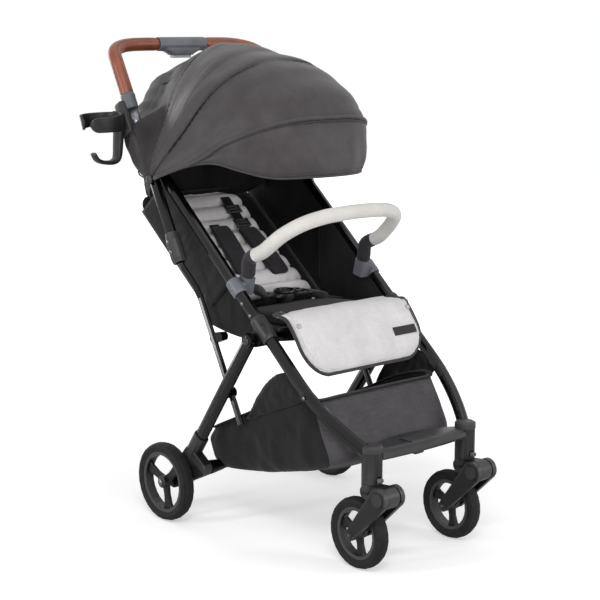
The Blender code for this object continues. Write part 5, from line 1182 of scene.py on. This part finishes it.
# %% Grips and collars
HANDLE_BEND = [(0.2085, 0.1720, 0.9285), (0.2068, 0.1860, 0.9500), (0.1995, 0.2040, 0.9655),
               (0.1850, 0.2185, 0.9752), (0.1640, 0.2290, 0.9812), (0.1370, 0.2350, 0.9845),
               (0.1050, 0.2370, 0.9855), (0.0645, 0.2370, 0.9855)]
GRIP_START = 0.1805
for side in (LEFT, RIGHT):
    low = [on_handle_tube(-d) - SHIFT for d in (GRIP_START, 0.205)]
    line = smooth_line([Vector((p[0] * side, p[1], p[2])) + SHIFT for p in low + HANDLE_BEND], 8)
    outlines = [circle(0.0143 - 0.0012 * math.exp(-(min(k, len(line) - 1 - k) / 1.2) ** 2), 28)
                for k in range(len(line))]
    grip = bar_along("grip_" + SIDES[side], line, outlines, finish=brown_leatherette)
    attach(grip, "handle_frame")
    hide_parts("handle_grip_" + SIDES[side])
    at = [on_handle_tube(-d, HANDLE_TUBE_X * side) for d in (0.1480, 0.1500, 0.1720, 0.1765, 0.1815)]
    collar = bar_along("collar", at, [circle(r, 28) for r in (0.0130, 0.0148, 0.0150, 0.0156, 0.0150)],
                       finish=collar_nylon)
    bright = bar_along("bright_tube", [on_handle_tube(-d, HANDLE_TUBE_X * side) for d in (0.0900, 0.1490)],
                       circle(0.0118, 28), finish=brushed_tube)
    collars = merge("handle_collar_" + SIDES[side], [collar, bright])
    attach(collars, "handle_frame")
print("grips made")

# %% [markdown]
# Cup holder. Two springy arms curl round the cup from a clip on the handle tube, and a hooked foot holds it
# from below. The arms are tall near the clip and taper to rounded tips.

# %% The cup holder
CUP = Vector((-0.2830, 0.1350, 0.8300))
CUP_RADIUS = 0.0402


def cup_arm(start, end, tall, middle):
    """An arm round the cup between two angles. tall and middle are its height and level at each end."""
    path, outlines = [], []
    for k in range(37):
        share = k / 36
        a = math.radians(between(start, end, share))
        path.append(place(*(CUP + Vector((CUP_RADIUS * math.cos(a), CUP_RADIUS * math.sin(a),
                                          between(*middle, share))))))
        height = between(*tall, share) * math.sqrt(max(0.03, 1 - max(0.0, (share - 0.86) / 0.14) ** 2))
        outlines.append(rounded(0.0052, max(height, 0.006), 0.0022, 3))
    return bar_along("arm", path, outlines)


cup_parts = [cup_arm(20, -158, (0.0380, 0.0300), (0.0020, -0.0060)),
             cup_arm(-10, 176, (0.0240, 0.0330), (0.0080, -0.0020))]
SPINE = ((0.0440, 0.004, 0.018), (0.0430, 0.002, -0.014), (0.0400, 0.001, -0.046), (0.0360, 0.0, -0.074),
         (0.0260, 0.0, -0.0835), (0.0060, 0.0, -0.0840), (-0.0130, 0.0, -0.0780), (-0.0230, 0.0, -0.0640))
spine_line = smooth_line([place(*(CUP + Vector(v))) for v in SPINE], 6)
spine_outlines = []
for k in range(len(spine_line)):
    s = k / (len(spine_line) - 1)
    spine_outlines.append(rounded(between(0.0300, 0.0170, ease(s)), between(0.0120, 0.0070, s), 0.0032, 3))
cup_parts.append(bar_along("spine", spine_line, spine_outlines, Vector((0, 1, 0))))
clip_line = [on_handle_tube(-d, -0.2245) + Vector((0, 0.0105, -0.0050))
             for d in (0.096, 0.099, 0.130, 0.164, 0.168)]
clip_outlines = [rounded(0.0190 * k, 0.0300 * k, 0.0070 * k, 4) for k in (0.8, 1.0, 1.04, 1.0, 0.8)]
cup_parts.append(bar_along("clip", clip_line, clip_outlines))
for part in cup_parts:
    paint(part, black_nylon)
cup_carrier = merge("cup_carrier", cup_parts)
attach(cup_carrier, "handle_frame")
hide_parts("cup_holder")
print("cup holder made")

# %% The buckle's raised rim and its four tongues
buckle_parts = []
hub = place(*BUCKLE)
around_hub = [2 * math.pi * k / 40 for k in range(40)]
rim = [hub + Vector((0.0215 * math.cos(a), 0.0205 * math.sin(a), 0.0065)) for a in around_hub]
ring = rings_along(rim, rounded(0.0080, 0.0075, 0.0032, 3), Vector((0, 0, 1)), loop=True)
buckle_parts.append(grid_piece("rim", ring + [ring[0]], closed=True))
for angle in (20, 160, 205, 335):
    a = math.radians(angle)
    aim = Vector((math.cos(a), math.sin(a), 0.05))
    side_on = Vector((-math.sin(a), math.cos(a), 0))
    path = [hub + aim * reach for reach in (0.018, 0.040, 0.050)]
    outlines = [rounded(w, 0.0085, 0.003, 3) for w in (0.0260, 0.0230, 0.0180)]
    buckle_parts.append(bar_along("tongue", path, outlines, side_on))
gloss_nylon = moulded_nylon("polished black acetal buckle", "#0b0b0c", "#141415", 0.16)
for part in buckle_parts:
    paint(part, gloss_nylon)
buckle_rim = merge("buckle_rim", buckle_parts)
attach(buckle_rim, "front_frame")
print("buckle rim made")

# %% [markdown]
# Sewing and rivets. Stitches and rivet heads repeat along a line, so two node trees make them. The first
# one places one stitch after another on a line of edges. The second one puts a domed head on a washer at
# each point, turned to the direction kept in the point's aim.

# %% The two node trees


def new_tree(name, inputs):
    tree = bpy.data.node_groups.new(name, "GeometryNodeTree")
    tree.interface.new_socket("Geometry", in_out="INPUT", socket_type="NodeSocketGeometry")
    for label, kind, value in inputs:
        socket = tree.interface.new_socket(label, in_out="INPUT", socket_type="NodeSocket" + kind)
        if value is not None:
            socket.default_value = value
    tree.interface.new_socket("Geometry", in_out="OUTPUT", socket_type="NodeSocketGeometry")
    return tree, tree.nodes.new("NodeGroupInput"), tree.nodes.new("NodeGroupOutput")


def close_tree(tree, start, end, made):
    """Ends a tree with real geometry and one finish."""
    real = add_node(tree, "GeometryNodeRealizeInstances", Geometry=made)
    done = add_node(tree, "GeometryNodeSetMaterial", Geometry=(real, "Geometry"), Material=(start, "Finish"))
    tree.links.new(done.outputs["Geometry"], end.inputs["Geometry"])
    return tree


stitches, start, end = new_tree("stitch row",
                                (("Spacing", "Float", 0.0042), ("Length", "Float", 0.0030),
                                 ("Thread", "Float", 0.0005), ("Seed", "Int", 7), ("Finish", "Material", None)))
line = add_node(stitches, "GeometryNodeMeshToCurve", Mesh=(start, "Geometry"))
dots = add_node(stitches, "GeometryNodeCurveToPoints", {"mode": "LENGTH"}, Curve=(line, "Curve"),
                Length=(start, "Spacing"))
half_length = add_node(stitches, "ShaderNodeMath", {"operation": "MULTIPLY"}, i0=(start, "Length"), i1=0.5)
size = add_node(stitches, "ShaderNodeCombineXYZ", X=(start, "Thread"), Y=(start, "Thread"),
                Z=(half_length, "Value"))
uneven = add_node(stitches, "FunctionNodeRandomValue", {"data_type": "FLOAT"}, i2=0.88, i3=1.10,
                  Seed=(start, "Seed"))
scale = add_node(stitches, "ShaderNodeVectorMath", {"operation": "SCALE"}, i0=(size, "Vector"), i3=(uneven, 1))
bead = add_node(stitches, "GeometryNodeMeshUVSphere", Segments=8, Rings=5, Radius=1.0)
sewn = add_node(stitches, "GeometryNodeInstanceOnPoints", Points=(dots, "Points"), Instance=(bead, "Mesh"),
                Rotation=(dots, "Rotation"), Scale=(scale, "Vector"))
close_tree(stitches, start, end, (sewn, "Instances"))

rivets, start, end = new_tree("rivet heads",
                              (("Radius", "Float", 0.0034), ("Dome", "Float", 0.5), ("Seed", "Int", 3),
                               ("Finish", "Material", None)))
spots = add_node(rivets, "GeometryNodeMeshToPoints", Mesh=(start, "Geometry"))
aim = add_node(rivets, "GeometryNodeInputNamedAttribute", {"data_type": "FLOAT_VECTOR"}, Name="aim")
turned = add_node(rivets, "FunctionNodeAlignRotationToVector", {"axis": "Z"}, Vector=(aim, "Attribute"))
dome = add_node(rivets, "GeometryNodeMeshUVSphere", Segments=20, Rings=10, Radius=1.0)
flat = add_node(rivets, "ShaderNodeCombineXYZ", X=1.0, Y=1.0, Z=(start, "Dome"))
squashed = add_node(rivets, "GeometryNodeTransform", Geometry=(dome, "Mesh"), Scale=(flat, "Vector"))
washer = add_node(rivets, "GeometryNodeMeshCylinder", Vertices=24, Radius=1.35, Depth=0.30)
head = add_node(rivets, "GeometryNodeJoinGeometry")
rivets.links.new(squashed.outputs["Geometry"], head.inputs["Geometry"])
rivets.links.new(washer.outputs["Mesh"], head.inputs["Geometry"])
uneven = add_node(rivets, "FunctionNodeRandomValue", {"data_type": "FLOAT"}, i2=0.96, i3=1.04,
                  Seed=(start, "Seed"))
scale = add_node(rivets, "ShaderNodeMath", {"operation": "MULTIPLY"}, i0=(start, "Radius"), i1=(uneven, 1))
set_in = add_node(rivets, "GeometryNodeInstanceOnPoints", Points=(spots, "Points"), Instance=(head, "Geometry"),
                  Rotation=(turned, "Rotation"), Scale=(scale, "Value"))
close_tree(rivets, start, end, (set_in, "Instances"))
print("node trees made")

# %% Rows of stitches and rivets


def run_tree(name, tree, mesh, **values):
    """Evaluates a tree on a mesh and keeps the result as a plain mesh."""
    piece = link(name, mesh)
    nodes_modifier = piece.modifiers.new(tree.name, "NODES")
    nodes_modifier.node_group = tree
    sockets = {item.name: item.identifier for item in tree.interface.items_tree if item.in_out == "INPUT"}
    for label, value in values.items():
        nodes_modifier[sockets[label]] = value
    bake(piece)
    piece.data.shade_smooth()
    return piece


def stitch_row(name, path, finish=None, **values):
    mesh = bpy.data.meshes.new(name)
    mesh.from_pydata([tuple(point) for point in path], [(i, i + 1) for i in range(len(path) - 1)], [])
    return run_tree(name, stitches, mesh, Finish=finish or thread, **values)


def rivet_row(name, places, finish, **values):
    mesh = bpy.data.meshes.new(name)
    mesh.from_pydata([tuple(point) for point, direction in places], [], [])
    attribute = mesh.attributes.new("aim", "FLOAT_VECTOR", "POINT")
    for item, (point, direction) in zip(attribute.data, places):
        item.vector = Vector(direction).normalized()
    return run_tree(name, rivets, mesh, Finish=finish, **values)


sewing = []
for angle, low, high in ((82.6, 8.0, 172.0), (85.4, 8.0, 172.0), (135.4, 8.0, 172.0), (137.6, 8.0, 172.0),
                         (VISOR_HEM - 1.6, 20.0, 160.0)):
    sewing.append(stitch_row("canopy stitches",
                             [canopy_point(angle, turn, 0.0006) for turn in spread(low, high, 120)]))
canopy_stitches = merge("canopy_stitches", sewing)
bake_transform(canopy_stitches)

STITCH_INSET = 0.0085
seam_end = 0.998 - STITCH_INSET / CALF_RUN[-1]
seam_path = [on_calf(calf_width(s) - STITCH_INSET, s * seam_end, 0.0078) for s in spread(0.20, 1.0, 50)]
seam_path += [on_calf(STITCH_INSET - calf_width(s), s * seam_end, 0.0078) for s in spread(1.0, 0.10, 50)]
calf_stitches = merge("calf_stitches", [stitch_row("calf stitches", seam_path, pale_thread, Thread=0.00045)])
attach(calf_stitches, "calf_rest")

grip_seams = []
for side in (LEFT, RIGHT):
    low = [on_handle_tube(-d) - SHIFT for d in (GRIP_START + 0.004, 0.205)]
    path = smooth_line([Vector((p[0] * side, p[1], p[2])) + SHIFT for p in low + HANDLE_BEND], 8)
    rings = rings_along(path, circle(0.0146, 8))
    grip_seams.append(stitch_row("grip stitches", [ring[2 if side == LEFT else 6] for ring in rings],
                                 Spacing=0.0050, Length=0.0036, Thread=0.0006))
grip_stitches = merge("grip_stitches", grip_seams)
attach(grip_stitches, "handle_frame")

hem_seam = stitch_row("basket_stitches",
                      [Vector(p) + (Vector(p) - place(*basket_centre)).normalized() * 0.0022
                       + Vector((0, 0, -0.0045)) for p in hem_path])
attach(hem_seam, "front_frame")

frame_rivets = []
for side in (LEFT, RIGHT):
    outward = (side, 0, 0)
    frame_rivets += [(on_side_tube(d, (SIDE_TUBE_X + 0.0126) * side), outward) for d in (0.360, 0.392, 0.600)]
    frame_rivets += [(on_side_tube(0.322, (SIDE_TUBE_X + 0.0150) * side), outward)]
rivets_front = rivet_row("frame_rivets", frame_rivets, zinc, Radius=0.0030)
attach(rivets_front, "front_frame")
elbow_spots = [(on_handle_tube(d, (HANDLE_TUBE_X + 0.0168) * side), (side, 0, 0)) for side in (LEFT, RIGHT)
               for d in (0.150, 0.172)]
handle_rivets = rivet_row("handle_rivets", elbow_spots, zinc, Radius=0.0030)
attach(handle_rivets, "handle_frame")
for side in (LEFT, RIGHT):
    hub_caps = rivet_row("hub_cap_" + SIDES[side], [(place(side * 0.2500, 0.0, 0.0829), (side, 0, 0))], zinc,
                         Radius=0.0052)
    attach(hub_caps, "rear_wheel_" + SIDES[side])
    bolt_spots = [(place(side * 0.130 + hand * 0.0268, -0.4761, 0.0706), (hand, 0, 0)) for hand in (-1, 1)]
    bolts = rivet_row("fork_bolt_" + SIDES[side], bolt_spots, zinc, Radius=0.0046)
    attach(bolts, "fork_" + SIDES[side])
print("stitches and rivets made")

# %% [markdown]
# Floor and light. The floor is plain and pale, and keeps the soft shadow. Where the camera looks at it
# directly it gets some light of its own, which grows away from the stroller, so that it joins the white
# background without more light on the stroller. The world is dimmer to the cloth than to the camera, and
# keeps its white where metal and gloss mirror it. The lamps are broad, as in a photo studio, apart from a
# narrow strip at the side, which draws the streaks on the tubes, and a rim light behind.

# %% The floor, the world and the lamps
floor = grid_piece("floor", [[Vector((x, y, 0.0)) for x in (-6, 6)] for y in (-6, 6)])
floor_paint, tree, shader, spot = new_material("matt white floor", 0.9)
shader.inputs["Base Color"].default_value = linear("#e8e8e8")
path_kind = add_node(tree, "ShaderNodeLightPath")
reach = add_node(tree, "ShaderNodeVectorMath", {"operation": "LENGTH"}, i0=(spot, "Object"))
far_glow = add_node(tree, "ShaderNodeMapRange", Value=(reach, "Value"), From_Min=0.5, From_Max=2.2, To_Min=0.40,
                    To_Max=1.1)
glow = add_node(tree, "ShaderNodeMath", {"operation": "MULTIPLY"}, i0=(path_kind, "Is Camera Ray"),
                i1=(far_glow, "Result"))
feed(tree, shader, Emission_Strength=(glow, "Value"))
shader.inputs["Emission Color"].default_value = (1, 1, 1, 1)
paint(floor, floor_paint)

world = bpy.data.worlds.new("studio")
bpy.context.scene.world = world
world.use_nodes = True
tree = world.node_tree
back = tree.nodes["Background"]
kind = add_node(tree, "ShaderNodeLightPath")
seen = add_node(tree, "ShaderNodeMath", {"operation": "MAXIMUM"}, i0=(kind, "Is Camera Ray"),
                i1=(kind, "Is Glossy Ray"))
seen = add_node(tree, "ShaderNodeMath", {"operation": "MAXIMUM"}, i0=(seen, "Value"),
                i1=(kind, "Is Transmission Ray"))
level = add_node(tree, "ShaderNodeMapRange", Value=(seen, "Value"), To_Min=0.36, To_Max=1.0)
feed(tree, back, Strength=(level, "Result"))
back.inputs["Color"].default_value = (1, 1, 1, 1)


def lamp(name, where, aim, size, power):
    light = bpy.data.lights.new(name, "AREA")
    light.shape = "RECTANGLE"
    light.size, light.size_y = size
    light.energy = power
    made = bpy.data.objects.new(name, light)
    made.location = where
    made.rotation_euler = (Vector(aim) - Vector(where)).to_track_quat("-Z", "Y").to_euler()
    bpy.context.scene.collection.objects.link(made)
    return made


lamp("key", (-1.7, -2.0, 2.5), (0, 0, 0.5), (0.9, 0.9), 32)
lamp("fill", (1.6, -2.8, 1.4), (0, 0, 0.6), (1.0, 1.0), 27)
lamp("top", (0.4, -0.2, 3.0), (0, 0, 0.5), (1.6, 1.6), 7)
lamp("front", (-1.0, -3.2, 0.8), (0, 0, 0.5), (1.2, 0.9), 18)
lamp("rim", (-0.2, 2.4, 0.9), (0, 0, 0.55), (0.7, 1.4), 12)
lamp("strip", (-2.7, 0.6, 1.2), (0, 0, 0.5), (0.25, 1.8), 30)
print("stage lit")

# %% [markdown]
# Camera. Its place and lens were solved from the outlines of the wheels in the photograph, so the render
# and the photograph can be laid over each other.

# %% The camera
camera_data = bpy.data.cameras.new("camera")
FOCAL_PIXELS, PHOTO_PIXELS, SENSOR_MM = 1465.97, 600, 36
camera_data.lens = FOCAL_PIXELS / PHOTO_PIXELS * SENSOR_MM
camera_data.sensor_width = SENSOR_MM
camera = bpy.data.objects.new("camera", camera_data)
camera.location = place(-2.0003, -2.3979, 1.0203)
camera.rotation_euler = (math.radians(90 - 10.5147), 0, math.radians(-41.7968))
bpy.context.scene.collection.objects.link(camera)
bpy.context.scene.camera = camera
bpy.context.scene.view_settings.view_transform = "Standard"

# %% A last import
import json
